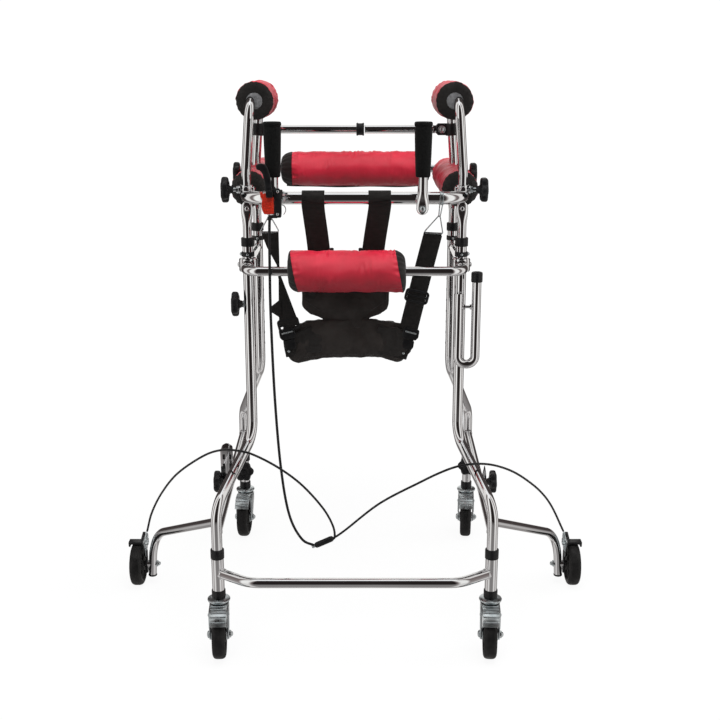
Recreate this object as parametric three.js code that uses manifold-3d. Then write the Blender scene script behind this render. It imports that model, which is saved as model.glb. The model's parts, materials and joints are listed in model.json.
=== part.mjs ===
// Wheeled gait-training walker: a chromed tube frame on four braked swivel casters and two outrigger wheels,
// with a telescopic upper frame, padded rails, underarm rollers, hand grips and a sling seat.
// Units are millimetres. +X is to the right seen from the front, +Y runs to the rear, +Z is up.
// The origin is on the floor, midway between the front and rear casters. "left" is the -X side.

import * as THREE from 'three';
import { mergeVertices } from 'three/addons/utils/BufferGeometryUtils.js';
import Module from 'manifold-3d';

const wasm = await Module();
wasm.setup();

// ---- driving dimensions ----
const GAP = 0.4; // clearance between neighbouring pieces
const TUBE_SIDES = 12;

const UPRIGHT_X = 219; // half distance between the two side frames
const FRONT_UPRIGHT_Y = -107;
const REAR_UPRIGHT_Y = 119;
const UPRIGHT_TOP = 822;
const LEG_RADIUS = 11;
const RAIL_RADIUS = 9.5;
const LEG_BEND = 55;

const FRONT_FOOT = { x: 279, y: -286 }; // swivel axis of a front caster
const REAR_FOOT = { x: 286, y: 329 }; // swivel axis of a rear caster
const FOOT_TUBE_BOTTOM = 124;
const FRONT_STUB_TOP = 216;
const FRONT_STUB_RADIUS = 12.7;
const FRONT_KNEE = { low: 318, high: 412 }; // heights of the two bends of a front leg
const REAR_KNEE = { low: 330, high: 503 };
const SIDE_RAIL = { front: 262, rear: 273 };
const UPPER_SIDE_RAIL = { z: 784, radius: 8 };
const CROSSBAR = { z: 177, y: -334, radius: 10.3, straightX: 210 };

const POST = { radius: 9.1, bore: 9.6, bottom: 640, roundTop: 884, top: 909.6 };
const POST_BORE_DEPTH = 195;

const U_BAR = { z: 923, radius: 12.7, frontY: -152, endY: 314, bend: 50 };
const PAD_BAR = { z: 782, y: -187, radius: 9.5, bend: 30 };
const FRONT_PAD = { x: -15, radius: 42, length: 234 };
const SIDE_PAD = { radius: 38, startY: -58, endY: 300, rise: 8 }; // the foam sits above its tube's centre
const BACK_BAR = { y: 329, z: 939, radius: 9.5 };
const BACK_PAD = { radius: 42.5, length: 358 };

const SUPPORT = { radius: 10, bottom: 915, straightTop: 966, topZ: 1109, topX: 208, bend: 34 };
const SUPPORT_SOCKET = { radius: 14, frontTop: 946, rearTop: 957, bore: 10.6 };
const ROLLER = { x: 202, z: 1109, radius: 38.5, startY: -75, endY: 87 };
const UPPER_CROSSBAR = { z: 1043, y: 119, radius: 9.5, pivotX: 190, jointX: 20 };
const LOCK_SLEEVE = { radius: 13, length: 17 };

const WHEEL = { radius: 50, width: 28, bore: 5.6, hubRadius: 15, sides: 20 };
const AXLE_RADIUS = 4.8;
const CASTER_YAW = { front: { left: 4, right: -4 }, rear: { left: -4, right: -5 } }; // as parked, in degrees
const CASTER_TRAIL = 22; // the wheel's axle sits this far in front of the swivel axis
const FORK = { plate: 3, inside: 17, crownZ: 104, flangeTop: 122 };

const OUTRIGGER = { wheelX: 508, wheelY: 27, tubeRadius: 9.3, tubeX: 476 };

const GRIP = { leftX: -159, rightX: 134, y: -178, radius: 17.3, bottom: 967, top: 1073, pivotZ: 905 };
const STEM_RADIUS = 10;
const KNOB = { lobes: 6, radius: 26, thickness: 15 };

const COLOURS = {
  chrome: { color: 0xd8dadd, roughness: 0.08, metalness: 1 },
  zinc: { color: 0xaab4ba, roughness: 0.32, metalness: 1 },
  rubber: { color: 0x141414, roughness: 0.75, metalness: 0 },
  plastic: { color: 0x0f0f10, roughness: 0.5, metalness: 0 },
  foam: { color: 0x101011, roughness: 0.9, metalness: 0 },
  redFabric: { color: 0xcf2744, roughness: 0.55, metalness: 0 },
  blackFabric: { color: 0x17171a, roughness: 0.9, metalness: 0 },
  redPlastic: { color: 0xc8231a, roughness: 0.4, metalness: 0 },
};

// ---- helpers: three.js geometry to a solid and back ----

function signedVolume(points, triangles) {
  const corner = [new THREE.Vector3(), new THREE.Vector3(), new THREE.Vector3()];
  let total = 0;
  for (let i = 0; i < triangles.length; i += 3) {
    for (let k = 0; k < 3; k += 1) {
      corner[k].fromArray(points, triangles[i + k] * 3);
    }
    total += corner[0].dot(corner[1].clone().cross(corner[2])) / 6;
  }
  return total;
}

// A solid made from a closed three.js geometry; triangles that have shrunk to a line are dropped.
function toSolid(geometry) {
  const bare = new THREE.BufferGeometry();
  bare.setAttribute('position', geometry.getAttribute('position').clone());
  if (geometry.index) {
    bare.setIndex(geometry.index.clone());
  }
  const merged = mergeVertices(bare, 1e-4);
  const points = new Float32Array(merged.getAttribute('position').array);
  const kept = [];
  const index = merged.index.array;
  for (let i = 0; i < index.length; i += 3) {
    const [a, b, c] = [index[i], index[i + 1], index[i + 2]];
    if (a !== b && b !== c && c !== a) {
      kept.push(a, b, c);
    }
  }
  if (signedVolume(points, kept) < 0) {
    for (let i = 0; i < kept.length; i += 3) {
      [kept[i + 1], kept[i + 2]] = [kept[i + 2], kept[i + 1]];
    }
  }
  const triVerts = new Uint32Array(kept);
  return new wasm.Manifold(new wasm.Mesh({ numProp: 3, vertProperties: points, triVerts }));
}

function toGeometry(solid) {
  const mesh = solid.getMesh();
  const geometry = new THREE.BufferGeometry();
  geometry.setAttribute('position', new THREE.BufferAttribute(new Float32Array(mesh.vertProperties), 3));
  geometry.setIndex(new THREE.BufferAttribute(new Uint32Array(mesh.triVerts), 1));
  geometry.computeVertexNormals();
  return geometry;
}

function join(...solids) {
  return solids.reduce((sum, solid) => sum.add(solid));
}

function cut(solid, ...tools) {
  return tools.reduce((rest, tool) => rest.subtract(tool), solid);
}

const vec = (x, y, z) => new THREE.Vector3(x, y, z);

// ---- helpers: basic shapes as solids ----

// A round bar from one point to another.
function rod(from, to, radius, sides = TUBE_SIDES, endRadius = radius) {
  const along = to.clone().sub(from);
  const geometry = new THREE.CylinderGeometry(endRadius, radius, along.length(), sides);
  const turn = new THREE.Quaternion().setFromUnitVectors(vec(0, 1, 0), along.clone().normalize());
  geometry.applyQuaternion(turn);
  geometry.translate(...from.clone().add(to).multiplyScalar(0.5).toArray());
  return toSolid(geometry);
}

function block(lowX, highX, lowY, highY, lowZ, highZ) {
  const geometry = new THREE.BoxGeometry(highX - lowX, highY - lowY, highZ - lowZ);
  geometry.translate((lowX + highX) / 2, (lowY + highY) / 2, (lowZ + highZ) / 2);
  return toSolid(geometry);
}

// The centre line of a bent tube: straight runs joined by arcs.
class BentLine extends THREE.Curve {
  constructor(corners, bend, stepDegrees = 18) {
    super();
    this.stations = [{ point: corners[0], tangent: corners[1].clone().sub(corners[0]).normalize() }];
    for (let i = 1; i < corners.length - 1; i += 1) {
      this.addBend(corners[i - 1], corners[i], corners[i + 1], bend, stepDegrees);
    }
    const [before, last] = corners.slice(-2);
    this.stations.push({ point: last, tangent: last.clone().sub(before).normalize() });
  }

  addBend(before, corner, after, bend, stepDegrees) {
    const into = corner.clone().sub(before).normalize();
    const out = after.clone().sub(corner).normalize();
    const angle = into.angleTo(out);
    const axis = into.clone().cross(out).normalize();
    const start = corner.clone().addScaledVector(into, -bend * Math.tan(angle / 2));
    const centre = start.clone().addScaledVector(axis.clone().cross(into), bend);
    const steps = Math.max(2, Math.ceil(THREE.MathUtils.radToDeg(angle) / stepDegrees));
    for (let i = 0; i <= steps; i += 1) {
      const turned = (angle * i) / steps;
      const point = start.clone().sub(centre).applyAxisAngle(axis, turned).add(centre);
      this.stations.push({ point, tangent: into.clone().applyAxisAngle(axis, turned) });
    }
  }

  getPointAt(share) {
    return this.stations[Math.round(share * (this.stations.length - 1))].point.clone();
  }

  getTangentAt(share) {
    return this.stations[Math.round(share * (this.stations.length - 1))].tangent.clone();
  }
}

function circleShape(radius, sides) {
  const shape = new THREE.Shape();
  for (let i = 0; i < sides; i += 1) {
    const angle = (i / sides) * 2 * Math.PI;
    const move = i === 0 ? 'moveTo' : 'lineTo';
    shape[move](radius * Math.cos(angle), radius * Math.sin(angle));
  }
  shape.closePath();
  return shape;
}

// A solid bar that follows the corners with arcs of one bend radius.
function bentTube(corners, radius, bend) {
  const line = new BentLine(corners, bend);
  const options = { steps: line.stations.length - 1, curveSegments: 1, extrudePath: line };
  return toSolid(new THREE.ExtrudeGeometry(circleShape(radius, TUBE_SIDES), options));
}

// A plate with its outline in the YZ plane, spanning lowX to highX.
function sidePlate(outline, lowX, highX) {
  const shape = new THREE.Shape(outline.map(([y, z]) => new THREE.Vector2(y, z)));
  const geometry = new THREE.ExtrudeGeometry(shape, { depth: highX - lowX, bevelEnabled: false, steps: 1 });
  geometry.rotateX(Math.PI / 2);
  geometry.rotateZ(Math.PI / 2);
  geometry.translate(lowX, 0, 0);
  return toSolid(geometry);
}

// A plate with its outline in the XZ plane, spanning lowY to highY.
function frontPlate(outline, lowY, highY) {
  const shape = new THREE.Shape(outline.map(([x, z]) => new THREE.Vector2(x, z)));
  const geometry = new THREE.ExtrudeGeometry(shape, { depth: highY - lowY, bevelEnabled: false, steps: 1 });
  geometry.rotateX(Math.PI / 2);
  geometry.translate(0, highY, 0);
  return toSolid(geometry);
}

// A turned part about the X axis; the profile is [distance along X, radius] and closes on itself.
function turnedOnX(profile, sides) {
  const points = profile.map(([x, radius]) => new THREE.Vector2(radius, x));
  points.push(points[0].clone());
  const geometry = new THREE.LatheGeometry(points, sides, Math.PI / sides);
  geometry.rotateZ(-Math.PI / 2);
  return toSolid(geometry);
}

// A round sleeve from one point to another, with a round hole through it.
function sleeve(from, to, outer, inner, sides = TUBE_SIDES, holeShift = vec(0, 0, 0)) {
  const past = to.clone().sub(from).normalize();
  const holeFrom = from.clone().sub(past).add(holeShift);
  const holeTo = to.clone().add(past).add(holeShift);
  return cut(rod(from, to, outer, sides), rod(holeFrom, holeTo, inner, sides));
}

// ---- scene helpers ----

const walker = new THREE.Group();

function addPiece(name, solid, look, parent = walker) {
  const material = new THREE.MeshStandardMaterial(COLOURS[look]);
  const mesh = new THREE.Mesh(toGeometry(solid), material);
  mesh.name = name;
  parent.add(mesh);
  return mesh;
}

const SIDES = [
  { name: 'left', sign: -1 },
  { name: 'right', sign: 1 },
];

// ---- base frame ----

function frontLegLine(sign) {
  const { x, y } = FRONT_FOOT;
  return [
    vec(sign * x, y, FRONT_STUB_TOP + GAP),
    vec(sign * x, y, FRONT_KNEE.low),
    vec(sign * UPRIGHT_X, FRONT_UPRIGHT_Y, FRONT_KNEE.high),
    vec(sign * UPRIGHT_X, FRONT_UPRIGHT_Y, UPRIGHT_TOP),
  ];
}

function rearLegLine(sign) {
  const { x, y } = REAR_FOOT;
  return [
    vec(sign * x, y, FOOT_TUBE_BOTTOM),
    vec(sign * x, y, REAR_KNEE.low),
    vec(sign * UPRIGHT_X, REAR_UPRIGHT_Y, REAR_KNEE.high),
    vec(sign * UPRIGHT_X, REAR_UPRIGHT_Y, UPRIGHT_TOP),
  ];
}

function sideRailEnds(sign) {
  const front = vec(sign * FRONT_FOOT.x, FRONT_FOOT.y, SIDE_RAIL.front);
  const rear = vec(sign * REAR_FOOT.x, REAR_FOOT.y, SIDE_RAIL.rear);
  return [front, rear];
}

function casterStemBore(x, y) {
  return rod(vec(x, y, FOOT_TUBE_BOTTOM - 1), vec(x, y, FOOT_TUBE_BOTTOM + 40), 6.9);
}

function postBore(x, y) {
  return rod(vec(x, y, UPRIGHT_TOP - POST_BORE_DEPTH), vec(x, y, UPRIGHT_TOP + 1), POST.bore);
}

// Front leg, rear leg and two rails welded into one side frame.
function sideFrame(sign) {
  const x = sign * UPRIGHT_X;
  const upperRail = rod(
    vec(x, FRONT_UPRIGHT_Y, UPPER_SIDE_RAIL.z),
    vec(x, REAR_UPRIGHT_Y, UPPER_SIDE_RAIL.z),
    UPPER_SIDE_RAIL.radius,
  );
  const frame = join(
    bentTube(frontLegLine(sign), LEG_RADIUS, LEG_BEND),
    bentTube(rearLegLine(sign), LEG_RADIUS, LEG_BEND),
    rod(...sideRailEnds(sign), RAIL_RADIUS),
    upperRail,
  );
  return cut(
    frame,
    postBore(x, FRONT_UPRIGHT_Y),
    postBore(x, REAR_UPRIGHT_Y),
    casterStemBore(sign * REAR_FOOT.x, REAR_FOOT.y),
  );
}

// The low front crossbar with the two stubs that hold the front casters.
function frontCrossFrame() {
  const { x, y } = FRONT_FOOT;
  const bar = bentTube(
    [
      vec(-x, y, CROSSBAR.z),
      vec(-CROSSBAR.straightX, CROSSBAR.y, CROSSBAR.z),
      vec(CROSSBAR.straightX, CROSSBAR.y, CROSSBAR.z),
      vec(x, y, CROSSBAR.z),
    ],
    CROSSBAR.radius,
    70,
  );
  const stubs = SIDES.map(({ sign }) =>
    rod(vec(sign * x, y, FOOT_TUBE_BOTTOM), vec(sign * x, y, FRONT_STUB_TOP), FRONT_STUB_RADIUS),
  );
  return cut(join(bar, ...stubs), casterStemBore(-x, y), casterStemBore(x, y));
}

// The bar that carries the front pad, with a half-round saddle against each front upright.
function frontPadBar() {
  const saddleRadius = 19;
  const saddleHalfHeight = 14;
  const backY = FRONT_UPRIGHT_Y - 12;
  const bar = bentTube(
    [
      vec(-UPRIGHT_X, backY - 4, PAD_BAR.z),
      vec(-UPRIGHT_X, PAD_BAR.y, PAD_BAR.z),
      vec(UPRIGHT_X, PAD_BAR.y, PAD_BAR.z),
      vec(UPRIGHT_X, backY - 4, PAD_BAR.z),
    ],
    PAD_BAR.radius,
    PAD_BAR.bend,
  );
  const saddles = SIDES.map(({ sign }) => {
    const low = vec(sign * UPRIGHT_X, FRONT_UPRIGHT_Y, PAD_BAR.z - saddleHalfHeight);
    const high = vec(sign * UPRIGHT_X, FRONT_UPRIGHT_Y, PAD_BAR.z + saddleHalfHeight);
    return sleeve(low, high, saddleRadius, LEG_RADIUS + GAP + 0.2);
  });
  const rearHalf = block(-260, 260, FRONT_UPRIGHT_Y - 3, FRONT_UPRIGHT_Y + 40, 700, 860);
  return cut(join(bar, ...saddles), rearHalf);
}

function frontPad() {
  const from = vec(FRONT_PAD.x - FRONT_PAD.length / 2, PAD_BAR.y, PAD_BAR.z);
  const to = vec(FRONT_PAD.x + FRONT_PAD.length / 2, PAD_BAR.y, PAD_BAR.z);
  return sleeve(from, to, FRONT_PAD.radius, PAD_BAR.radius + GAP + 0.4, 16);
}

// A J-shaped tube beside the right front upright that holds a crutch.
function crutchHolder() {
  const [innerX, outerX] = [214, 250];
  const [innerTop, outerTop, bottom] = [726, 768, 576];
  const y = FRONT_UPRIGHT_Y - 23.5;
  const half = (outerX - innerX) / 2;
  return bentTube(
    [vec(innerX, y, innerTop), vec(innerX, y, bottom), vec(outerX, y, bottom), vec(outerX, y, outerTop)],
    9.5,
    half - 0.5,
  );
}

function buildBase() {
  for (const { name, sign } of SIDES) {
    addPiece(`side_frame_${name}`, sideFrame(sign), 'chrome');
  }
  addPiece('front_cross_frame', frontCrossFrame(), 'chrome');
  addPiece('front_pad_bar', frontPadBar(), 'chrome');
  addPiece('front_pad', frontPad(), 'redFabric');
  addPiece('crutch_holder', crutchHolder(), 'chrome');
}

// ---- wheels and casters ----

// A wheel on the X axis: a flat tread with rounded shoulders, a recessed face and a hub with a bore.
function wheelSolid(radius = WHEEL.radius) {
  const half = WHEEL.width / 2;
  const round = 1 / Math.cos(Math.PI / WHEEL.sides);
  const tread = radius * round;
  const profile = [
    [-half, WHEEL.bore],
    [half, WHEEL.bore],
    [half, WHEEL.hubRadius],
    [half - 6, WHEEL.hubRadius + 3],
    [half - 6, radius - 13],
    [half - 1, radius - 10],
    [half - 4, tread],
    [-half + 4, tread],
    [-half + 1, radius - 10],
    [-half + 6, radius - 13],
    [-half + 6, WHEEL.hubRadius + 3],
    [-half, WHEEL.hubRadius],
  ];
  return turnedOnX(profile, WHEEL.sides);
}

// One fork cheek with a rounded eye at the axle.
function forkCheek(lowX, highX) {
  const eyeRadius = 11;
  const eye = [];
  for (let i = 0; i <= 6; i += 1) {
    const angle = Math.PI * (1 + i / 6);
    eye.push([-CASTER_TRAIL + eyeRadius * Math.cos(angle), WHEEL.radius + eyeRadius * Math.sin(angle)]);
  }
  return sidePlate([...eye, [14, 92], [14, FORK.crownZ + 3], [-33, FORK.crownZ + 3]], lowX, highX);
}

// Caster fork with its stem, round raceway, cheeks and axle bolt. Local origin: swivel axis on the floor.
function casterFork() {
  const outside = FORK.inside + FORK.plate;
  const axleY = -CASTER_TRAIL;
  return join(
    rod(vec(0, 0, FORK.crownZ), vec(0, 0, FOOT_TUBE_BOTTOM + 34), 6),
    rod(vec(0, 0, FORK.flangeTop - 8), vec(0, 0, FORK.flangeTop), 23, 20),
    rod(vec(0, 0, FORK.crownZ), vec(0, 0, FORK.flangeTop - 8), 18, 16),
    block(-outside, outside, -33, 14, FORK.crownZ, FORK.crownZ + 3),
    forkCheek(FORK.inside, outside),
    forkCheek(-outside, -FORK.inside),
    rod(vec(-outside - 4, axleY, WHEEL.radius), vec(outside + 5, axleY, WHEEL.radius), AXLE_RADIUS),
    rod(vec(-outside - 5, axleY, WHEEL.radius), vec(-outside, axleY, WHEEL.radius), 8, 6),
    rod(vec(outside, axleY, WHEEL.radius), vec(outside + 6, axleY, WHEEL.radius), 8, 6),
  );
}

// The foot pedal that locks the caster, sloping forward over the tyre.
function casterPedal() {
  const outline = [
    [-24, 114],
    [-44, 110.5],
    [-58, 102.5],
    [-67, 90],
    [-63.5, 87.5],
    [-55, 98.5],
    [-43, 106.3],
    [-24, 110],
  ];
  return sidePlate(outline, -17, 17);
}

function addCaster(name, x, y, yawDegrees) {
  const caster = new THREE.Group();
  caster.position.set(x, y, 0);
  caster.rotation.z = THREE.MathUtils.degToRad(yawDegrees);
  walker.add(caster);
  addPiece(`${name}_caster_fork`, casterFork(), 'zinc', caster);
  addPiece(`${name}_caster_pedal`, casterPedal(), 'zinc', caster);
  const wheel = addPiece(`${name}_caster_wheel`, wheelSolid(), 'rubber', caster);
  wheel.position.set(0, -CASTER_TRAIL, WHEEL.radius);
}

function outriggerLine(sign) {
  return [
    vec(sign * 278, -222, 263),
    vec(sign * 470, OUTRIGGER.wheelY, 125),
    vec(sign * OUTRIGGER.tubeX, OUTRIGGER.wheelY, 20),
  ];
}

// The outrigger tube with the axle bolt of its wheel; its inner end is coped to fit the side rail.
function outriggerArm(sign) {
  const { tubeX, wheelX, wheelY, tubeRadius } = OUTRIGGER;
  const axleFrom = vec(sign * (tubeX - 20), wheelY, WHEEL.radius);
  const axleTo = vec(sign * (wheelX + 19), wheelY, WHEEL.radius);
  const spacerTo = vec(sign * (wheelX - WHEEL.width / 2 - GAP), wheelY, WHEEL.radius);
  const headFrom = vec(sign * (wheelX + WHEEL.width / 2 + GAP), wheelY, WHEEL.radius);
  const nutTo = vec(sign * (tubeX - 13), wheelY, WHEEL.radius);
  const arm = join(
    bentTube(outriggerLine(sign), tubeRadius, 42),
    rod(axleFrom, axleTo, AXLE_RADIUS),
    rod(vec(sign * tubeX, wheelY, WHEEL.radius), spacerTo, 8),
    rod(headFrom, axleTo, 7.5, 6),
    rod(axleFrom, nutTo, 8, 6),
  );
  return cut(arm, rod(...sideRailEnds(sign), RAIL_RADIUS + GAP));
}

// Brake shoe: a plate above the tyre on a lug beside the outrigger tube.
function brakeShoe(sign) {
  const centreX = sign * OUTRIGGER.wheelX;
  const y = OUTRIGGER.wheelY;
  const top = 2 * WHEEL.radius;
  const outline = [
    [y + 30, top + 16],
    [y - 24, top + 8],
    [y - 40, top - 6],
    [y - 37, top - 9],
    [y - 22, top + 4],
    [y + 30, top + 10],
  ];
  const shoe = sidePlate(outline, centreX - 15, centreX + 15);
  const lug = rod(vec(sign * 492, y + 26, top + 12), vec(sign * 500, y + 26, top + 12), 7);
  return join(shoe, lug);
}

function addOutrigger(name, sign) {
  addPiece(`outrigger_arm_${name}`, outriggerArm(sign), 'chrome');
  addPiece(`brake_shoe_${name}`, brakeShoe(sign), 'plastic');
  const wheel = addPiece(`outrigger_wheel_${name}`, wheelSolid(), 'rubber');
  wheel.position.set(sign * OUTRIGGER.wheelX, OUTRIGGER.wheelY, WHEEL.radius);
}

function buildWheels() {
  for (const { name, sign } of SIDES) {
    addCaster(`front_${name}`, sign * FRONT_FOOT.x, FRONT_FOOT.y, CASTER_YAW.front[name]);
    addCaster(`rear_${name}`, sign * REAR_FOOT.x, REAR_FOOT.y, CASTER_YAW.rear[name]);
    addOutrigger(name, sign);
  }
}

// ---- star knobs ----

// A lobed knob on a neck, pointing along +X from the origin, which is where the neck meets the frame.
function starKnob(neckLength) {
  const shape = new THREE.Shape();
  const steps = KNOB.lobes * 4;
  for (let i = 0; i < steps; i += 1) {
    const angle = (i / steps) * 2 * Math.PI;
    const radius = KNOB.radius - 3 + 3 * Math.cos(KNOB.lobes * angle);
    const move = i === 0 ? 'moveTo' : 'lineTo';
    shape[move](radius * Math.cos(angle), radius * Math.sin(angle));
  }
  shape.closePath();
  const options = { depth: KNOB.thickness, bevelEnabled: false, steps: 1 };
  const head = new THREE.ExtrudeGeometry(shape, options);
  head.rotateY(Math.PI / 2);
  head.translate(neckLength, 0, 0);
  return join(toSolid(head), rod(vec(0, 0, 0), vec(neckLength + 1, 0, 0), 7, 10));
}

const SOCKET_KNOB_Z = 935;
const KNOBS = [
  ...SIDES.flatMap(({ name, sign }) => [
    {
      name: `upper_front_knob_${name}`,
      at: vec(sign * (UPRIGHT_X + SUPPORT_SOCKET.radius + GAP), FRONT_UPRIGHT_Y, SOCKET_KNOB_Z),
      along: vec(sign, 0, 0),
      neck: 21,
    },
    {
      name: `upper_rear_knob_${name}`,
      at: vec(sign * (UPRIGHT_X + SUPPORT_SOCKET.radius + GAP), REAR_UPRIGHT_Y, SOCKET_KNOB_Z + 11),
      along: vec(sign, 0, 0),
      neck: 21,
    },
    {
      name: `rear_leg_knob_${name}`,
      at: vec(sign * REAR_FOOT.x, REAR_FOOT.y - LEG_RADIUS - GAP, sign < 0 ? 178 : 194),
      along: vec(0, -1, 0),
      neck: 14,
    },
    {
      name: `side_rail_knob_${name}`,
      at: vec(sign * 294, 23, 256),
      along: vec(sign, 0, 0),
      neck: 14,
    },
  ]),
  {
    name: 'front_upright_knob',
    at: vec(-UPRIGHT_X - LEG_RADIUS - GAP, FRONT_UPRIGHT_Y, 699),
    along: vec(-1, 0, 0),
    neck: 10,
  },
];

function buildKnobs() {
  for (const knob of KNOBS) {
    const mesh = addPiece(knob.name, starKnob(knob.neck), 'plastic');
    mesh.position.copy(knob.at);
    mesh.quaternion.setFromUnitVectors(vec(1, 0, 0), knob.along);
  }
}

// ---- upper frame ----

// The big horizontal U-bar with a socket over each upright and the hinge pin and rest of the rear gate.
function upperUBar() {
  const { z, radius, frontY, endY, bend } = U_BAR;
  const bar = bentTube(
    [
      vec(-UPRIGHT_X, endY, z),
      vec(-UPRIGHT_X, frontY, z),
      vec(UPRIGHT_X, frontY, z),
      vec(UPRIGHT_X, endY, z),
    ],
    radius,
    bend,
  );
  const corners = SIDES.flatMap(({ sign }) => [
    [sign * UPRIGHT_X, FRONT_UPRIGHT_Y, SUPPORT_SOCKET.frontTop],
    [sign * UPRIGHT_X, REAR_UPRIGHT_Y, SUPPORT_SOCKET.rearTop],
  ]);
  const sockets = corners.map(([x, y, top]) => rod(vec(x, y, z), vec(x, y, top), SUPPORT_SOCKET.radius));
  const bores = corners.map(([x, y, top]) =>
    rod(vec(x, y, SUPPORT.bottom - 1), vec(x, y, top + 1), SUPPORT_SOCKET.bore),
  );
  const gateLugTop = BACK_BAR.z - BACK_BAR.radius - 2;
  const lugs = SIDES.map(({ sign }) =>
    block(sign * UPRIGHT_X - 10, sign * UPRIGHT_X + 10, endY - 8, BACK_BAR.y + 11, z - 6, gateLugTop),
  );
  const pin = rod(vec(-UPRIGHT_X, BACK_BAR.y, z), vec(-UPRIGHT_X, BACK_BAR.y, BACK_BAR.z + 16), 4);
  return cut(join(bar, ...sockets, ...lugs, pin), ...bores);
}

// A telescopic post: round below, flattened into a riveted tongue under the U-bar.
function innerPost(x, y) {
  return join(
    rod(vec(x, y, POST.bottom), vec(x, y, POST.roundTop), POST.radius),
    block(x - 11, x + 11, y - 3.5, y + 3.5, POST.roundTop - 8, POST.top),
  );
}

function sidePad(sign) {
  const x = sign * UPRIGHT_X;
  const from = vec(x, SIDE_PAD.startY, U_BAR.z + SIDE_PAD.rise);
  const to = vec(x, SIDE_PAD.endY, U_BAR.z + SIDE_PAD.rise);
  const toTube = vec(0, 0, -SIDE_PAD.rise);
  const slot = rod(vec(x, REAR_UPRIGHT_Y, 860), vec(x, REAR_UPRIGHT_Y, 990), SUPPORT_SOCKET.radius + 2);
  const knobZ = SOCKET_KNOB_Z + 11;
  const outside = vec(x + sign * 60, REAR_UPRIGHT_Y, knobZ);
  const neckRoom = rod(vec(x, REAR_UPRIGHT_Y, knobZ), outside, 9);
  const headRoom = rod(vec(x + sign * 33, REAR_UPRIGHT_Y, knobZ), outside, KNOB.radius + 3);
  const pad = sleeve(from, to, SIDE_PAD.radius, U_BAR.radius + GAP + 0.5, 16, toTube);
  return cut(pad, slot, neckRoom, headRoom);
}

// The rear gate: a bar with a hinge knuckle on the left and a plain end that rests on the right lug.
function backBar() {
  const { y, z, radius } = BACK_BAR;
  const bar = rod(vec(-UPRIGHT_X, y, z), vec(UPRIGHT_X + 8, y, z), radius);
  const knuckle = rod(vec(-UPRIGHT_X, y, z - radius - 1), vec(-UPRIGHT_X, y, z + radius + 1), 12);
  const pinBore = rod(vec(-UPRIGHT_X, y, z - 20), vec(-UPRIGHT_X, y, z + 30), 5);
  return cut(join(bar, knuckle), pinBore);
}

function backPad() {
  const half = BACK_PAD.length / 2;
  const from = vec(-half, BACK_BAR.y, BACK_BAR.z);
  const to = vec(half, BACK_BAR.y, BACK_BAR.z);
  return sleeve(from, to, BACK_PAD.radius, BACK_BAR.radius + GAP + 0.4, 16);
}

function buildUpperFrame() {
  addPiece('upper_u_bar', upperUBar(), 'chrome');
  for (const { name, sign } of SIDES) {
    const x = sign * UPRIGHT_X;
    addPiece(`front_post_${name}`, innerPost(x, FRONT_UPRIGHT_Y), 'chrome');
    addPiece(`rear_post_${name}`, innerPost(x, REAR_UPRIGHT_Y), 'chrome');
    addPiece(`side_pad_${name}`, sidePad(sign), 'redFabric');
  }
  addPiece('back_bar', backBar(), 'chrome');
  addPiece('back_pad', backPad(), 'redFabric');
}

// ---- underarm supports ----

function underarmSupport(sign) {
  const [low, high] = [sign * UPRIGHT_X, sign * SUPPORT.topX];
  return bentTube(
    [
      vec(low, FRONT_UPRIGHT_Y, SUPPORT.bottom),
      vec(low, FRONT_UPRIGHT_Y, SUPPORT.straightTop),
      vec(high, FRONT_UPRIGHT_Y, SUPPORT.topZ),
      vec(high, REAR_UPRIGHT_Y, SUPPORT.topZ),
      vec(low, REAR_UPRIGHT_Y, SUPPORT.straightTop),
      vec(low, REAR_UPRIGHT_Y, SUPPORT.bottom),
    ],
    SUPPORT.radius,
    SUPPORT.bend,
  );
}

function underarmRoller(sign) {
  const from = vec(sign * ROLLER.x, ROLLER.startY, ROLLER.z);
  const to = vec(sign * ROLLER.x, ROLLER.endY, ROLLER.z);
  const shift = vec(sign * (SUPPORT.topX - ROLLER.x), 0, 0);
  const bore = SUPPORT.radius + GAP + 0.5;
  const keepOff = rod(from.clone().add(shift), to.clone().add(shift), bore);
  return cut(sleeve(from, to, ROLLER.radius, bore, 16, shift), keepOff);
}

// X of the leaning rear leg of an underarm support at a height.
function supportLegX(z) {
  const share = (z - SUPPORT.straightTop) / (SUPPORT.topZ - SUPPORT.straightTop);
  return THREE.MathUtils.lerp(UPRIGHT_X, SUPPORT.topX, share);
}

// A clamp around the rear leg with two ears that hold the crossbar's rivet.
function crossbarClamp(sign) {
  const { z, y, pivotX } = UPPER_CROSSBAR;
  const legX = sign * supportLegX(z);
  const [low, high] = [vec(legX, y, z - 13), vec(legX, y, z + 13)];
  const ring = rod(low, high, 15);
  const innerX = sign * (pivotX - 12);
  const earLowX = Math.min(innerX, legX);
  const earHighX = Math.max(innerX, legX);
  const ears = block(earLowX, earHighX, y - 8, y + 8, z - 13, z + 13);
  const tongueRoom = block(
    Math.min(innerX - sign, sign * (pivotX + 13)),
    Math.max(innerX - sign, sign * (pivotX + 13)),
    y - 3.5,
    y + 3.5,
    z - 20,
    z + 20,
  );
  const lean = (UPRIGHT_X - SUPPORT.topX) / (SUPPORT.topZ - SUPPORT.straightTop);
  const legBore = rod(
    vec(legX + sign * lean * 20, y, z - 20),
    vec(legX - sign * lean * 20, y, z + 20),
    SUPPORT.radius + GAP + 0.2,
  );
  const rivet = rod(vec(sign * pivotX, y - 10, z), vec(sign * pivotX, y + 10, z), 4);
  return join(cut(join(ring, ears), tongueRoom, legBore), rivet);
}

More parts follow.
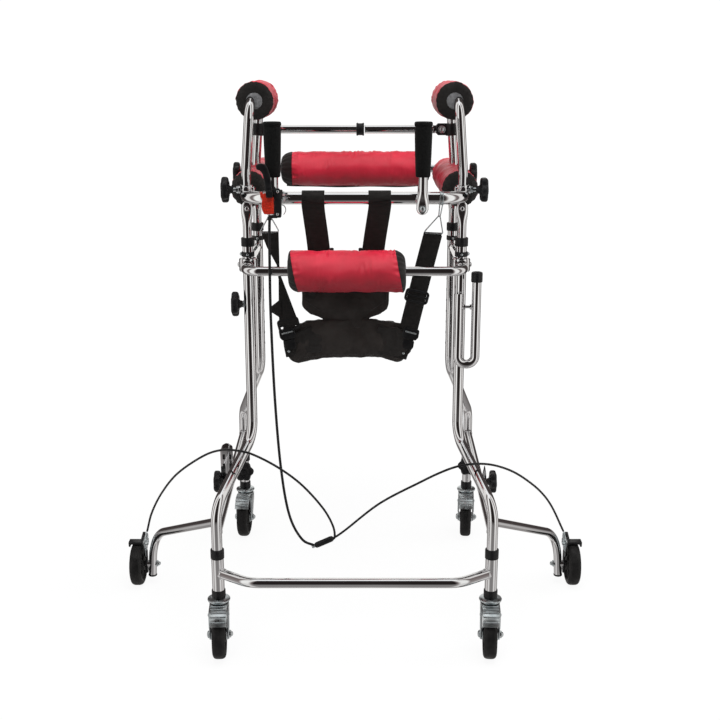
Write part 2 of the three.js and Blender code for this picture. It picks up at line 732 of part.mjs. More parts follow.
// One half of the crossbar: a tube with a flat tongue on its rivet.
function crossbarHalf(sign, endX) {
  const { z, y, radius, pivotX } = UPPER_CROSSBAR;
  const tubeX = sign * (pivotX - 18.5);
  const bar = rod(vec(tubeX, y, z), vec(endX, y, z), radius);
  const tongueLow = Math.min(tubeX - sign * 3, sign * pivotX);
  const tongueHigh = Math.max(tubeX - sign * 3, sign * pivotX);
  const tongue = join(
    block(tongueLow, tongueHigh, y - 2.8, y + 2.8, z - 9, z + 9),
    rod(vec(sign * pivotX, y - 2.8, z), vec(sign * pivotX, y + 2.8, z), 9, 16),
  );
  const hole = rod(vec(sign * pivotX, y - 6, z), vec(sign * pivotX, y + 6, z), 4.7);
  return cut(join(bar, tongue), hole);
}

function lockSleeve() {
  const { z, y, radius, jointX } = UPPER_CROSSBAR;
  const [from, to] = [vec(jointX - LOCK_SLEEVE.length, y, z), vec(jointX, y, z)];
  return sleeve(from, to, LOCK_SLEEVE.radius, radius + GAP + 0.3);
}

function buildUnderarm() {
  for (const { name, sign } of SIDES) {
    addPiece(`underarm_support_${name}`, underarmSupport(sign), 'chrome');
    addPiece(`underarm_roller_${name}`, underarmRoller(sign), 'redFabric');
    addPiece(`crossbar_clamp_${name}`, crossbarClamp(sign), 'plastic');
  }
  addPiece('upper_crossbar_left', crossbarHalf(-1, UPPER_CROSSBAR.jointX), 'chrome');
  addPiece('upper_crossbar_right', crossbarHalf(1, UPPER_CROSSBAR.jointX + 1.5), 'chrome');
  addPiece('crossbar_sleeve', lockSleeve(), 'plastic');
}

// ---- hand grips and brake lever ----

// A chrome stem in front of the U-bar: flattened round its pivot bolt, round inside the grip.
function gripStem(x) {
  const { y, pivotZ, top } = GRIP;
  const flat = join(
    rod(vec(x, y - 4, pivotZ), vec(x, y + 4, pivotZ), 12, 16),
    block(x - 12, x + 12, y - 4, y + 4, pivotZ, pivotZ + 14),
  );
  const round = rod(vec(x, y, pivotZ + 12), vec(x, y, top - 3), STEM_RADIUS);
  const bolt = rod(vec(x, y - 9, pivotZ), vec(x, y + 8, pivotZ), 6, 6);
  return join(flat, round, bolt);
}

function handGrip(x) {
  const { y, bottom, top, radius } = GRIP;
  const foam = rod(vec(x, y, bottom), vec(x, y, top), radius, 16);
  return cut(foam, rod(vec(x, y, bottom - 1), vec(x, y, top - 2), STEM_RADIUS + GAP));
}

// The brake lever hangs in front of the left grip, with its tip up and away from the grip.
function brakeLever() {
  const outline = [
    [-157, 929],
    [-171, 930],
    [-174, 942],
    [-174, 960],
    [-179, 978],
    [-190, 984],
    [-191, 992],
    [-184, 996],
    [-172, 995],
    [-166, 988],
    [-160, 966],
  ];
  return frontPlate(outline, GRIP.y - 31, GRIP.y - 23);
}

// The red parking lock below the lever.
function parkingLock() {
  const outline = [
    [-157, 898],
    [-176, 897],
    [-181, 914],
    [-183, 940],
    [-176, 939],
    [-170, 932],
    [-157, 930],
  ];
  return frontPlate(outline, GRIP.y - 22.5, GRIP.y - 14.6);
}

// The clamp that holds lever and lock on the left stem.
function leverPerch() {
  const x = GRIP.leftX;
  const { y } = GRIP;
  const ring = rod(vec(x, y, 928), vec(x, y, 962), 14);
  const arm = block(x + 4.5, x + 17, y - 22, y - 8, 898, 966);
  return join(ring, arm);
}

function buildGrips() {
  addPiece('grip_stem_left', join(gripStem(GRIP.leftX), leverPerch()), 'chrome');
  addPiece('grip_stem_right', gripStem(GRIP.rightX), 'chrome');
  addPiece('hand_grip_left', handGrip(GRIP.leftX), 'foam');
  addPiece('hand_grip_right', handGrip(GRIP.rightX), 'foam');
  addPiece('brake_lever', brakeLever(), 'plastic');
  addPiece('parking_lock', parkingLock(), 'redPlastic');
}

// ---- sling seat ----

const SLING = { bandX: -6, saddleX: -19, frontY: -139, backY: -117, strapY: -138, strapThickness: 3 };

// The seat panel with its two front straps, sewn into one piece.
function slingSeat() {
  const b = SLING.bandX;
  const s = SLING.saddleX;
  const seatOutline = [
    [s - 90, 745],
    [s - 91, 708],
    [s - 76, 692],
    [s - 50, 678],
    [b - 92, 671],
    [b - 133, 650],
    [b - 131, 588],
    [b - 112, 577],
    [b - 52, 588],
    [b + 56, 590],
    [b + 100, 578],
    [b + 121, 604],
    [b + 134, 646],
    [b + 101, 664],
    [s + 50, 678],
    [s + 76, 692],
    [s + 91, 708],
    [s + 90, 745],
  ];
  const frontStraps = [
    { low: -72, high: -82 },
    { low: 37, high: 50 },
  ];
  const strapHalf = 22;
  const straps = frontStraps.map(({ low, high }) => {
    const outline = [
      [low - strapHalf, 740],
      [low + strapHalf, 740],
      [high + strapHalf, 907],
      [high - strapHalf, 907],
    ];
    return frontPlate(outline, SLING.strapY, SLING.strapY + SLING.strapThickness);
  });
  return join(frontPlate(seatOutline, SLING.frontY, SLING.backY), ...straps);
}

// A side strap with its buckle, from under the U-bar corner to the seat's lower band.
function slingSideStrap(sign) {
  const low = sign < 0 ? -131 : 112;
  const high = sign < 0 ? -168 : 158;
  const outline = [
    [low - 19, 662],
    [low + 19, 662],
    [high + 19, 872],
    [high - 19, 872],
  ];
  return frontPlate(outline, SLING.frontY - 4, SLING.frontY - 1);
}

function buildSling() {
  addPiece('sling_seat', slingSeat(), 'blackFabric');
  for (const { name, sign } of SIDES) {
    addPiece(`sling_strap_${name}`, slingSideStrap(sign), 'blackFabric');
  }
}

buildBase();
buildWheels();
buildKnobs();
buildUpperFrame();
buildUnderarm();
buildGrips();
buildSling();

export default walker;
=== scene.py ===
"""Looks of the wheeled walker: smooth tubes, casters, pads, sling, cables, materials, studio and camera.

Lengths in this script are millimetres in the CAD frame, turned into metres when a mesh is made.
+X is to the right seen from the front, -Y is the front, +Z is up. "left" is the -X side.
"""

import json
from math import atan2, ceil, cos, degrees, pi, radians, sin, sqrt, tan

import bmesh
import bpy
from mathutils import Matrix, Vector, noise

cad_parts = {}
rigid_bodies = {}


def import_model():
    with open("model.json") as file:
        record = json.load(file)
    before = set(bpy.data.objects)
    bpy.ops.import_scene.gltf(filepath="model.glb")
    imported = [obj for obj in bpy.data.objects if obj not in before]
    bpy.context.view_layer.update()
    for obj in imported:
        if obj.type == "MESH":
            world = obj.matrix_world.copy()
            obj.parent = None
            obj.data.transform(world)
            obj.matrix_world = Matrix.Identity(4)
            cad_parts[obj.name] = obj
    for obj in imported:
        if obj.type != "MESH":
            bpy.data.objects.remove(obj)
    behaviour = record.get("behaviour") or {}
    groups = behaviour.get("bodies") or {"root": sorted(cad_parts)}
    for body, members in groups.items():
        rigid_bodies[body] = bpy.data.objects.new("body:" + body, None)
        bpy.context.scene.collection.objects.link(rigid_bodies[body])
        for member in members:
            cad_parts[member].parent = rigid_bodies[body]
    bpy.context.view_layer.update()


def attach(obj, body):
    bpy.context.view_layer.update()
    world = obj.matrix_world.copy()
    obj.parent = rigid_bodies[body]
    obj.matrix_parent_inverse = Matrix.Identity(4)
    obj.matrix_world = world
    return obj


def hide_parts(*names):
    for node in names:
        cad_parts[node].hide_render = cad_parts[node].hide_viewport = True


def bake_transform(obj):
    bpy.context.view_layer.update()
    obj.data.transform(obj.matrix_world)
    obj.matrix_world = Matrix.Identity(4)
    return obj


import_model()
scene = bpy.context.scene
MM = 0.001
TUBE_SIDES = 40
SIDES = (("left", -1), ("right", 1))
RIGHT = Vector((1, 0, 0))
LEFT = Vector((-1, 0, 0))
BACK = Vector((0, 1, 0))
FRONT = Vector((0, -1, 0))
UP = Vector((0, 0, 1))

UPRIGHT_X = 219
FRONT_Y = -107
REAR_Y = 119
UPRIGHT_TOP = 822
LEG_RADIUS = 11
FRONT_FOOT = (279, -286)
REAR_FOOT = (286, 329)
RAIL_FRONT_Z = 262
RAIL_REAR_Z = 273
RAIL_KNOB_Y = 23
RAIL_KNOB_Z = 256
CROSS_TUBE_Z = 177
SIDE_BAR_Z = 784
U_BAR_Z = 923
U_BAR_FRONT_Y = -152
U_BAR_RADIUS = 12.7
FRONT_KNOB_Z = 935
REAR_KNOB_Z = 946
UNDERARM_TOP = 1109
STRAP_Y = -141
STRAP_LEAN = 0.24
GRIP_Y = -178
GRIP_PIVOT_Z = 905
PAD_BAR_Y = -187
PAD_BAR_Z = 782
GATE_Y = 329
GATE_Z = 939
CROSSBAR_Y = 119
CROSSBAR_Z = 1043
WHEEL_RADIUS = 50
AXLE_Z = WHEEL_RADIUS
CASTER_TRAIL = 22
CASTERS = {
    "front_left": (-FRONT_FOOT[0], FRONT_FOOT[1], 4),
    "front_right": (FRONT_FOOT[0], FRONT_FOOT[1], -4),
    "rear_left": (-REAR_FOOT[0], REAR_FOOT[1], -4),
    "rear_right": (REAR_FOOT[0], REAR_FOOT[1], -5),
}
OUTRIGGER_WHEEL_X = 508
OUTRIGGER_Y = 27
OUTRIGGER_TUBE_X = 476
CAMERA_PLACE = (0.011, -2.361, 1.174)
CAMERA_PITCH = 14.8
CAMERA_LENS = 55.35


# ---- materials ----


def node(tree, kind, inputs=None, **settings):
    """Adds a shader node; each input is a value, or the output socket that feeds it."""
    made = tree.nodes.new("ShaderNode" + kind)
    for key, value in settings.items():
        setattr(made, key, value)
    for socket, value in (inputs or {}).items():
        if isinstance(value, bpy.types.NodeSocket):
            tree.links.new(value, made.inputs[socket])
        else:
            made.inputs[socket].default_value = value
    return made


class Shader:
    """A principled material with a few short ways to add nodes."""

    def __init__(self, name, color, roughness, metallic=0.0):
        self.material = bpy.data.materials.new(name)
        self.material.use_nodes = True
        self.tree = self.material.node_tree
        self.bsdf = self.tree.nodes["Principled BSDF"]
        self.place = self.add("TexCoord").outputs["Object"]
        self.set("Base Color", (*color, 1))
        self.set("Roughness", roughness)
        self.set("Metallic", metallic)

    def add(self, kind, inputs=None, **settings):
        return node(self.tree, kind, inputs, **settings)

    def set(self, socket, value):
        self.bsdf.inputs[socket].default_value = value

    def feed(self, socket, source):
        self.tree.links.new(source, self.bsdf.inputs[socket])

    def dull(self, level):
        """Less mirror-like reflection than the usual 0.5."""
        self.set("Specular IOR Level", level)

    def noise(self, scale, detail=3.0, stretch=(1, 1, 1)):
        place = self.add("Mapping", {"Scale": stretch, "Vector": self.place}).outputs["Vector"]
        return self.add("TexNoise", {"Scale": scale, "Detail": detail, "Vector": place}).outputs["Fac"]

    def cells(self, scale):
        return self.add("TexVoronoi", {"Scale": scale, "Vector": self.place}).outputs["Distance"]

    def waves(self, scale, direction, turn=0.0):
        place = self.add("Mapping", {"Rotation": (0, turn, 0), "Vector": self.place}).outputs["Vector"]
        inputs = {"Scale": scale, "Distortion": 0.3, "Vector": place}
        return self.add("TexWave", inputs, bands_direction=direction).outputs["Fac"]

    def math(self, operation, first, second):
        return self.add("Math", {0: first, 1: second}, operation=operation).outputs[0]

    def rough(self, source, low, high):
        inputs = {"From Min": 0.3, "From Max": 0.7, "To Min": low, "To Max": high, "Value": source}
        self.feed("Roughness", self.add("MapRange", inputs).outputs["Result"])

    def tint(self, source, dark, light):
        ramp = self.add("ValToRGB", {"Fac": source})
        for element, position, color in zip(ramp.color_ramp.elements, (0.3, 0.7), (dark, light)):
            element.position = position
            element.color = (*color, 1)
        self.feed("Base Color", ramp.outputs["Color"])

    def bump(self, source, height_mm, strength=1.0):
        inputs = {"Strength": strength, "Distance": height_mm * MM, "Height": source}
        self.feed("Normal", self.add("Bump", inputs).outputs["Normal"])

    def weave(self, threads, crumple, height_mm, strength):
        """Crossed threads over soft crumples."""
        crossed = self.math("ADD", self.waves(threads, "X"), self.waves(threads, "Z"))
        lumps = self.math("MULTIPLY", self.noise(crumple, 5), 3.0)
        self.bump(self.math("ADD", crossed, lumps), height_mm, strength)

    def sheen(self, weight, roughness):
        self.set("Sheen Weight", weight)
        self.set("Sheen Roughness", roughness)


def chrome():
    look = Shader("polished_chrome", (0.82, 0.825, 0.84), 0.06, 1.0)
    look.rough(look.noise(22, 4), 0.035, 0.11)
    look.tint(look.noise(9, 2), (0.76, 0.765, 0.78), (0.88, 0.885, 0.895))
    look.bump(look.noise(900, 2, (1, 1, 0.08)), 0.02, 0.25)
    return look.material


def zinc():
    look = Shader("bright_zinc", (0.62, 0.67, 0.69), 0.3, 1.0)
    look.rough(look.noise(60, 4), 0.2, 0.42)
    look.tint(look.noise(48, 5), (0.50, 0.56, 0.58), (0.80, 0.85, 0.87))
    look.bump(look.cells(210), 0.05, 0.3)
    return look.material


def rubber():
    look = Shader("moulded_rubber", (0.01, 0.01, 0.01), 0.6)
    look.dull(0.3)
    look.rough(look.noise(40, 4), 0.4, 0.7)
    look.tint(look.noise(70, 5), (0.006, 0.006, 0.006), (0.016, 0.015, 0.015))
    look.bump(look.noise(1400, 3), 0.08, 0.5)
    return look.material


def black_plastic():
    look = Shader("grained_plastic", (0.01, 0.01, 0.01), 0.4)
    look.dull(0.35)
    look.rough(look.noise(90, 4), 0.3, 0.5)
    look.tint(look.noise(50, 3), (0.006, 0.006, 0.007), (0.013, 0.013, 0.014))
    look.bump(look.cells(1500), 0.04, 0.4)
    return look.material


def grip_foam():
    look = Shader("grip_foam", (0.006, 0.006, 0.006), 0.85)
    look.dull(0.15)
    look.tint(look.noise(300, 4), (0.003, 0.003, 0.003), (0.009, 0.009, 0.009))
    look.bump(look.cells(900), 0.25, 0.6)
    look.set("Sheen Weight", 0.05)
    return look.material


def grey_foam():
    look = Shader("grey_foam", (0.19, 0.19, 0.195), 0.95)
    look.tint(look.noise(160, 4), (0.13, 0.13, 0.135), (0.25, 0.25, 0.255))
    look.bump(look.cells(700), 0.4, 0.8)
    return look.material


def red_fabric():
    look = Shader("red_nylon", (0.50, 0.012, 0.034), 0.4)
    look.tint(look.noise(14, 4), (0.44, 0.009, 0.026), (0.58, 0.016, 0.042))
    look.rough(look.noise(35, 3), 0.3, 0.44)
    look.weave(650, 120, 0.16, 0.55)
    look.sheen(0.12, 0.35)
    look.set("Sheen Tint", (1.0, 0.45, 0.5, 1))
    return look.material


def black_fabric(name="black_nylon", dark=(0.008, 0.007, 0.0065), light=(0.019, 0.0165, 0.0155)):
    look = Shader(name, light, 0.6)
    look.dull(0.35)
    look.tint(look.noise(18, 4), dark, light)
    look.rough(look.noise(60, 3), 0.45, 0.7)
    look.weave(420, 130, 0.22, 0.7)
    look.sheen(0.12, 0.4)
    return look.material


def webbing():
    look = Shader("black_webbing", (0.011, 0.0095, 0.009), 0.65)
    look.dull(0.3)
    look.tint(look.noise(60, 3, (1, 1, 4)), (0.006, 0.0055, 0.005), (0.014, 0.012, 0.0115))
    ribs = look.math("MULTIPLY", look.waves(260, "Z", pi / 4), look.waves(260, "Z", -pi / 4))
    look.bump(ribs, 0.35, 0.8)
    look.sheen(0.12, 0.4)
    return look.material


def red_plastic():
    look = Shader("red_plastic", (0.62, 0.028, 0.010), 0.32)
    look.tint(look.noise(60, 3), (0.54, 0.022, 0.008), (0.68, 0.035, 0.012))
    look.rough(look.noise(90, 3), 0.22, 0.42)
    look.bump(look.noise(700, 2), 0.04, 0.4)
    return look.material


def thread():
    look = Shader("stitch_thread", (0.05, 0.048, 0.048), 0.6)
    look.tint(look.noise(800, 2), (0.035, 0.033, 0.033), (0.075, 0.072, 0.072))
    look.bump(look.noise(2400, 2), 0.05, 0.5)
    return look.material


LOOKS = {
    "chrome": (chrome(), "chrome"),
    "zinc": (zinc(), "zinc"),
    "rubber": (rubber(), "rubber"),
    "plastic": (black_plastic(), "plastic"),
    "foam": (grip_foam(), "foam"),
    "grey_foam": (grey_foam(), "foam"),
    "red": (red_fabric(), "red_fabric"),
    "black": (black_fabric(), "black_fabric"),
    "sling": (black_fabric("sling_nylon", (0.016, 0.013, 0.0115), (0.034, 0.0275, 0.025)), "black_fabric"),
    "webbing": (webbing(), "black_fabric"),
    "red_plastic": (red_plastic(), "red_plastic"),
    "thread": (thread(), "black_fabric"),
}


# ---- mesh helpers: every one returns a bmesh in metres ----


def vec(*values):
    return Vector(values)


def arc_path(corners, bend, step_degrees=4.0):
    """The centre line of a bent tube: straight runs joined by arcs."""
    points = [corners[0].copy()]
    for before, corner, after in zip(corners, corners[1:], corners[2:]):
        into = (corner - before).normalized()
        out = (after - corner).normalized()
        angle = into.angle(out)
        if angle < 0.01:
            points.append(corner.copy())
            continue
        axis = into.cross(out).normalized()
        start = corner - into * bend * tan(angle / 2)
        centre = start + axis.cross(into) * bend
        steps = max(3, ceil(degrees(angle) / step_degrees))
        for i in range(steps + 1):
            points.append(centre + Matrix.Rotation(angle * i / steps, 3, axis) @ (start - centre))
    points.append(corners[-1].copy())
    return points


def smooth_path(knots, per_span=8):
    """A Catmull-Rom curve through the knots."""
    ends = [knots[0] * 2 - knots[1], *knots, knots[-1] * 2 - knots[-2]]
    points = []
    for a, b, c, d in zip(ends, ends[1:], ends[2:], ends[3:]):
        for i in range(per_span):
            t = i / per_span
            point = b * 2 + (c - a) * t + (a * 2 - b * 5 + c * 4 - d) * t * t
            points.append((point + (b * 3 - a - c * 3 + d) * t**3) / 2)
    points.append(knots[-1].copy())
    return points


def smooth_outline(knots, per_span=6):
    """The same curve through flat points."""
    return [(p.x, p.y) for p in smooth_path([vec(a, b, 0) for a, b in knots], per_span)]


def circle(radius, sides=TUBE_SIDES):
    return [(radius * cos(2 * pi * i / sides), radius * sin(2 * pi * i / sides)) for i in range(sides)]


def strap_section(width, thickness):
    """A flat section with rounded edges: width along the side direction."""
    soft = thickness / 2
    half = width / 2 - soft
    section = []
    for x, angles in ((half, (-60, -20, 20, 60)), (-half, (120, 160, 200, 240))):
        for angle in angles:
            section.append((x + soft * cos(radians(angle)), soft * sin(radians(angle))))
    return section


def square_to(along, wish=None):
    """The unit vector across a direction that lies nearest to wish; upright when there is no wish."""
    if wish is None:
        wish = UP if abs(along.z) < 0.9 else RIGHT
    return (wish - along * wish.dot(along)).normalized()


def sweep(points, section, side=None, scale=None):
    """Carries a section along points. side fixes the section's first axis; scale(i) gives its two factors."""
    bm = bmesh.new()
    rings = []
    previous = None
    for i, point in enumerate(points):
        ahead = points[min(i + 1, len(points) - 1)]
        behind = points[max(i - 1, 0)]
        tangent = (ahead - behind).normalized()
        if side is not None or previous is None:
            across = square_to(tangent, side)
        else:
            across = previous.rotation_difference(tangent) @ across
        previous = tangent
        other = tangent.cross(across)
        wide, deep = scale(i) if scale else (1, 1)
        rings.append([bm.verts.new((point + across * u * wide + other * v * deep) * MM) for u, v in section])
    return skin(bm, rings)


def bridge(bm, rings, closed=False):
    """Faces between neighbouring rings; a ring of one vertex is a pole."""
    pairs = list(zip(rings, rings[1:]))
    if closed:
        pairs.append((rings[-1], rings[0]))
    for low, high in pairs:
        count = max(len(low), len(high))
        for k in range(count):
            after = (k + 1) % count
            if len(low) == 1:
                bm.faces.new((low[0], high[after], high[k]))
            elif len(high) == 1:
                bm.faces.new((low[k], low[after], high[0]))
            else:
                bm.faces.new((low[k], low[after], high[after], high[k]))


def skin(bm, rings):
    """Faces along a row of rings and over both its ends."""
    bridge(bm, rings)
    bm.faces.new(list(reversed(rings[0])))
    bm.faces.new(rings[-1])
    return bm


def tube(corners, radius, bend=40):
    return sweep(arc_path(corners, bend), circle(radius))


def bar(start, end, radius, sides=24):
    """A round bar with softened end edges."""
    length = (end - start).length
    soft = min(0.8, radius * 0.3, length * 0.3)
    profile = [(0, 0), (0, radius - soft), (soft, radius)]
    profile += [(length - soft, radius), (length, radius - soft), (length, 0)]
    return lathe(profile, start, end - start, sides)


def lathe(profile, start, axis, sides=48, closed=False):
    """Turns a profile of (distance along axis, radius) about the axis; radius 0 closes an end."""
    along = axis.normalized()
    across = square_to(along)
    other = along.cross(across)
    bm = bmesh.new()
    rings = []
    for distance, radius in profile:
        centre = start + along * distance
        loop = []
        for k in range(sides if radius else 1):
            angle = 2 * pi * (k + 0.5) / sides
            loop.append(bm.verts.new((centre + (across * cos(angle) + other * sin(angle)) * radius) * MM))
        rings.append(loop)
    bridge(bm, rings, closed)
    return bm


def rounded(outline, radius, step_degrees=15):
    """A closed outline with its corners rounded."""
    corners = [vec(a, b, 0) for a, b in outline]
    result = []
    for i, corner in enumerate(corners):
        before, after = corners[i - 1], corners[(i + 1) % len(corners)]
        reach = min((corner - before).length, (after - corner).length) * 0.48
        angle = (corner - before).angle(after - corner)
        if angle < 0.02:
            result.append((corner.x, corner.y))
            continue
        fitted = min(radius, reach / tan(angle / 2))
        for point in arc_path([before, corner, after], fitted, step_degrees)[1:-1]:
            result.append((point.x, point.y))
    return result


PLANES = {
    "xz": lambda a, b, c: vec(a, c, b),
    "yz": lambda a, b, c: vec(c, a, b),
}


def plate(outline, low, high, plane="xz", soft=0.8, steps=2):
    """An outline given thickness from low to high across its plane, with softened edges."""
    place = PLANES[plane]
    bm = bmesh.new()
    bottom = [bm.verts.new(place(a, b, low) * MM) for a, b in outline]
    top = [bm.verts.new(place(a, b, high) * MM) for a, b in outline]
    bm.faces.new(bottom)
    bm.faces.new(list(reversed(top)))
    rims = []
    for k in range(len(outline)):
        after = (k + 1) % len(outline)
        bm.faces.new((bottom[after], bottom[k], top[k], top[after]))
        rims.append(bm.edges.get((bottom[k], bottom[after])))
        rims.append(bm.edges.get((top[k], top[after])))
    bmesh.ops.recalc_face_normals(bm, faces=bm.faces)
    if soft:
        options = {"affect": "EDGES", "profile": 0.5, "clamp_overlap": True}
        bmesh.ops.bevel(bm, geom=rims, offset=soft * MM, segments=steps, **options)
    return bm


def span(sign, near, far):
    """Two distances out from the middle, as a rising pair of coordinates on one side."""
    return sorted((sign * near, sign * far))


def box(low, high, soft=0.8):
    """A softened block between two corners."""
    outline = [(low[0], low[2]), (high[0], low[2]), (high[0], high[2]), (low[0], high[2])]
    return plate(rounded(outline, soft), low[1], high[1], "xz", soft)


def moved(bm, matrix):
    """matrix has its translation in millimetres."""
    metres = matrix.copy()
    metres.translation *= MM
    bmesh.ops.transform(bm, matrix=metres, verts=bm.verts)
    return bm


def add_object(name, data):
    obj = bpy.data.objects.new(name, data)
    scene.collection.objects.link(obj)
    return obj


def make(name, body, look, *parts, replaces=(), sharp=38):
    """Joins bmeshes into one object that rides on a body."""
    joined = bmesh.new()
    scratch = bpy.data.meshes.new("scratch")
    for part in parts:
        bmesh.ops.recalc_face_normals(part, faces=part.faces)
        part.to_mesh(scratch)
        part.free()
        joined.from_mesh(scratch)
    bpy.data.meshes.remove(scratch)
    mesh = bpy.data.meshes.new(name)
    joined.to_mesh(mesh)
    joined.free()
    mesh.polygons.foreach_set("use_smooth", [True] * len(mesh.polygons))
    mesh.set_sharp_from_angle(angle=radians(sharp))
    material, slot = LOOKS[look]
    mesh.materials.append(material)
    obj = add_object(name, mesh)
    if body:
        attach(obj, body)
    if replaces:
        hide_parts(*([replaces] if isinstance(replaces, str) else replaces))
    return obj


def screw_head(centre, axis, radius, height):
    """A domed head standing on centre."""
    profile = [(0, 0), (0, radius)]
    for i in range(6):
        angle = pi / 2 * i / 6
        profile.append((height * (0.25 + 0.75 * sin(angle)), radius * cos(angle)))
    profile.append((height, 0))
    return lathe(profile, centre, axis, 24)


def hex_nut(centre, axis, radius, height):
    profile = [(0, 0), (0, radius), (height * 0.8, radius), (height, radius * 0.86), (height, 0)]
    return lathe(profile, centre, axis, 6)


def ring(centre, axis, inner, outer, height, soft=0.7, sides=48):
    """A collar round an axis, with softened rims."""
    edge = soft * 0.3
    rise = [(0, inner), (0, outer - soft), (edge, outer - edge), (soft, outer)]
    fall = [(height - soft, outer), (height - edge, outer - edge), (height, outer - soft), (height, inner)]
    return lathe(rise + fall, centre, axis, sides, closed=True)


def weld(centre, axis, radius, seed):
    """A rippled weld bead round a tube."""
    bm = ring(centre - axis.normalized() * 1.6, axis, radius - 1, radius + 1.5, 3.2, 1.0, 60)
    for vertex in bm.verts:
        bump = noise.noise(vertex.co * 900 + vec(seed, seed, seed))
        vertex.co += (vertex.co - centre * MM).normalized() * bump * 0.5 * MM
    return bm


# ---- base frame ----


def leg_line(sign, foot, y, foot_z, knee_z, hip_z):
    """Straight up from the caster socket, then leaning in to the upright."""
    return [
        vec(sign * foot[0], foot[1], foot_z),
        vec(sign * foot[0], foot[1], knee_z),
        vec(sign * UPRIGHT_X, y, hip_z),
        vec(sign * UPRIGHT_X, y, UPRIGHT_TOP),
    ]


def hole_marks(centre, axis, count, pitch, radius=3.2):
    """Adjustment holes: dark discs let into a tube, repeated up it."""
    marks = []
    for i in range(count):
        at = centre + vec(0, 0, pitch * i)
        marks.append(lathe([(-0.6, 0), (-0.6, radius), (0.12, radius), (0.12, 0)], at, axis, 20))
    return marks


def side_frame(name, sign):
    x = sign * UPRIGHT_X
    foot = sign * FRONT_FOOT[0]
    rear_foot = sign * REAR_FOOT[0]
    rail = [vec(foot, FRONT_FOOT[1], RAIL_FRONT_Z), vec(rear_foot, REAR_FOOT[1], RAIL_REAR_Z)]
    tubes = [
        tube(leg_line(sign, FRONT_FOOT, FRONT_Y, 212, 318, 412), LEG_RADIUS, 55),
        tube(leg_line(sign, REAR_FOOT, REAR_Y, 126, 330, 503), LEG_RADIUS, 55),
        sweep(rail, circle(9.5)),
        sweep([vec(x, FRONT_Y, SIDE_BAR_Z), vec(x, REAR_Y, SIDE_BAR_Z)], circle(8)),
        weld(vec(foot, FRONT_FOOT[1] + 11.5, RAIL_FRONT_Z), BACK, 9.5, sign),
        weld(vec(rear_foot, REAR_FOOT[1] - 11.5, RAIL_REAR_Z), BACK, 9.5, sign + 5),
        weld(vec(x, FRONT_Y + 11.2, SIDE_BAR_Z), BACK, 8, sign + 9),
        weld(vec(x, REAR_Y - 11.2, SIDE_BAR_Z), BACK, 8, sign + 13),
    ]
    make(f"side_frame_tubes_{name}", "base", "chrome", *tubes, replaces=f"side_frame_{name}")
    collars = [ring(vec(rear_foot, REAR_FOOT[1], 197), UP, 10.5, 13.6, 20)]
    for y in (FRONT_Y, REAR_Y):
        collars.append(ring(vec(x, y, 820), UP, 9.6, 13.4, 18, 1.2))
        collars.append(ring(vec(x, y, 799), UP, 10.6, 13.2, 10, 1.0))
    collars.append(ring(vec(foot, FRONT_FOOT[1], 209), UP, 10.6, 13.9, 20, 1.2))
    collars.append(ring(vec(rear_foot, REAR_FOOT[1], 123), UP, 8, 13.6, 17, 1.2))
    holes = hole_marks(vec(rear_foot, REAR_FOOT[1] - 11, 222), FRONT, 2, 25)
    for y in (FRONT_Y, REAR_Y):
        holes += hole_marks(vec(x - sign * LEG_RADIUS, y, 560), vec(-sign, 0, 0), 8, 25, 2.8)
    make(f"side_frame_collars_{name}", "base", "plastic", *collars, *holes)
    buttons = []
    for y in (FRONT_Y, REAR_Y):
        buttons.append(screw_head(vec(x + sign * 12.6, y, 804), vec(sign, 0, 0), 3.6, 4.5))
        buttons.append(screw_head(vec(x, y - 12.6, 804), FRONT, 2.6, 1.4))
    make(f"side_frame_buttons_{name}", "base", "zinc", *buttons)


def slotted_brace(name, sign):
    """The side rail knob's lug with the bracket above: a slotted plate on the left, a spike on the right."""
    y, z = RAIL_KNOB_Y, RAIL_KNOB_Z
    bolt = bar(vec(sign * 282, y, z), vec(sign * 294, y, z), 4.5)
    low, high = span(sign, 284, 291)
    lug = box((low, 12, 246), (high, 33, 268), 2.0)
    if sign > 0:
        spike = [(290, 248), (303, 248), (301, 272), (298, 290), (296.5, 290), (293, 272)]
        parts = [plate(rounded(spike, 1.5), 33, 36, "xz", 0.5)]
    else:
        outline = [(-279, 250), (-308, 250), (-309, 326), (-304, 340), (-293, 346), (-280, 338)]
        parts = [plate(rounded(outline, 7), 33, 36, "xz", 0.5), box((-294, 33, 250), (-291, 40, 330), 1.2)]
        slots = []
        for x in (-286, -301):
            for middle in (268, 290, 312):
                path = [vec(x, 32.8, middle - 6), vec(x, 32.8, middle + 6)]
                slots.append(sweep(path, circle(2.8, 16), side=BACK, scale=lambda i: (0.12, 1)))
        make("brace_slots", "base", "plastic", *slots)
    make(f"side_brace_{name}", "base", "chrome", *parts, bolt, lug)


def cross_frame():
    x, y = FRONT_FOOT
    z = CROSS_TUBE_Z
    corners = [vec(-x, y, z), vec(-210, -334, z), vec(210, -334, z), vec(x, y, z)]
    parts = [sweep(arc_path(corners, 70, 2.0), circle(10.3))]
    collars = []
    for _, sign in SIDES:
        parts.append(bar(vec(sign * x, y, 126), vec(sign * x, y, 214), 12.7, 40))
        direction = vec(-sign * 69, -48, 0).normalized()
        parts.append(weld(vec(sign * x, y, z) + direction * 12.6, direction, 10.3, sign * 3))
        collars.append(ring(vec(sign * x, y, 123), UP, 8, 14.2, 17, 1.2))
    make("front_cross_tubes", "base", "chrome", *parts, replaces="front_cross_frame")
    make("front_foot_plugs", "base", "plastic", *collars)


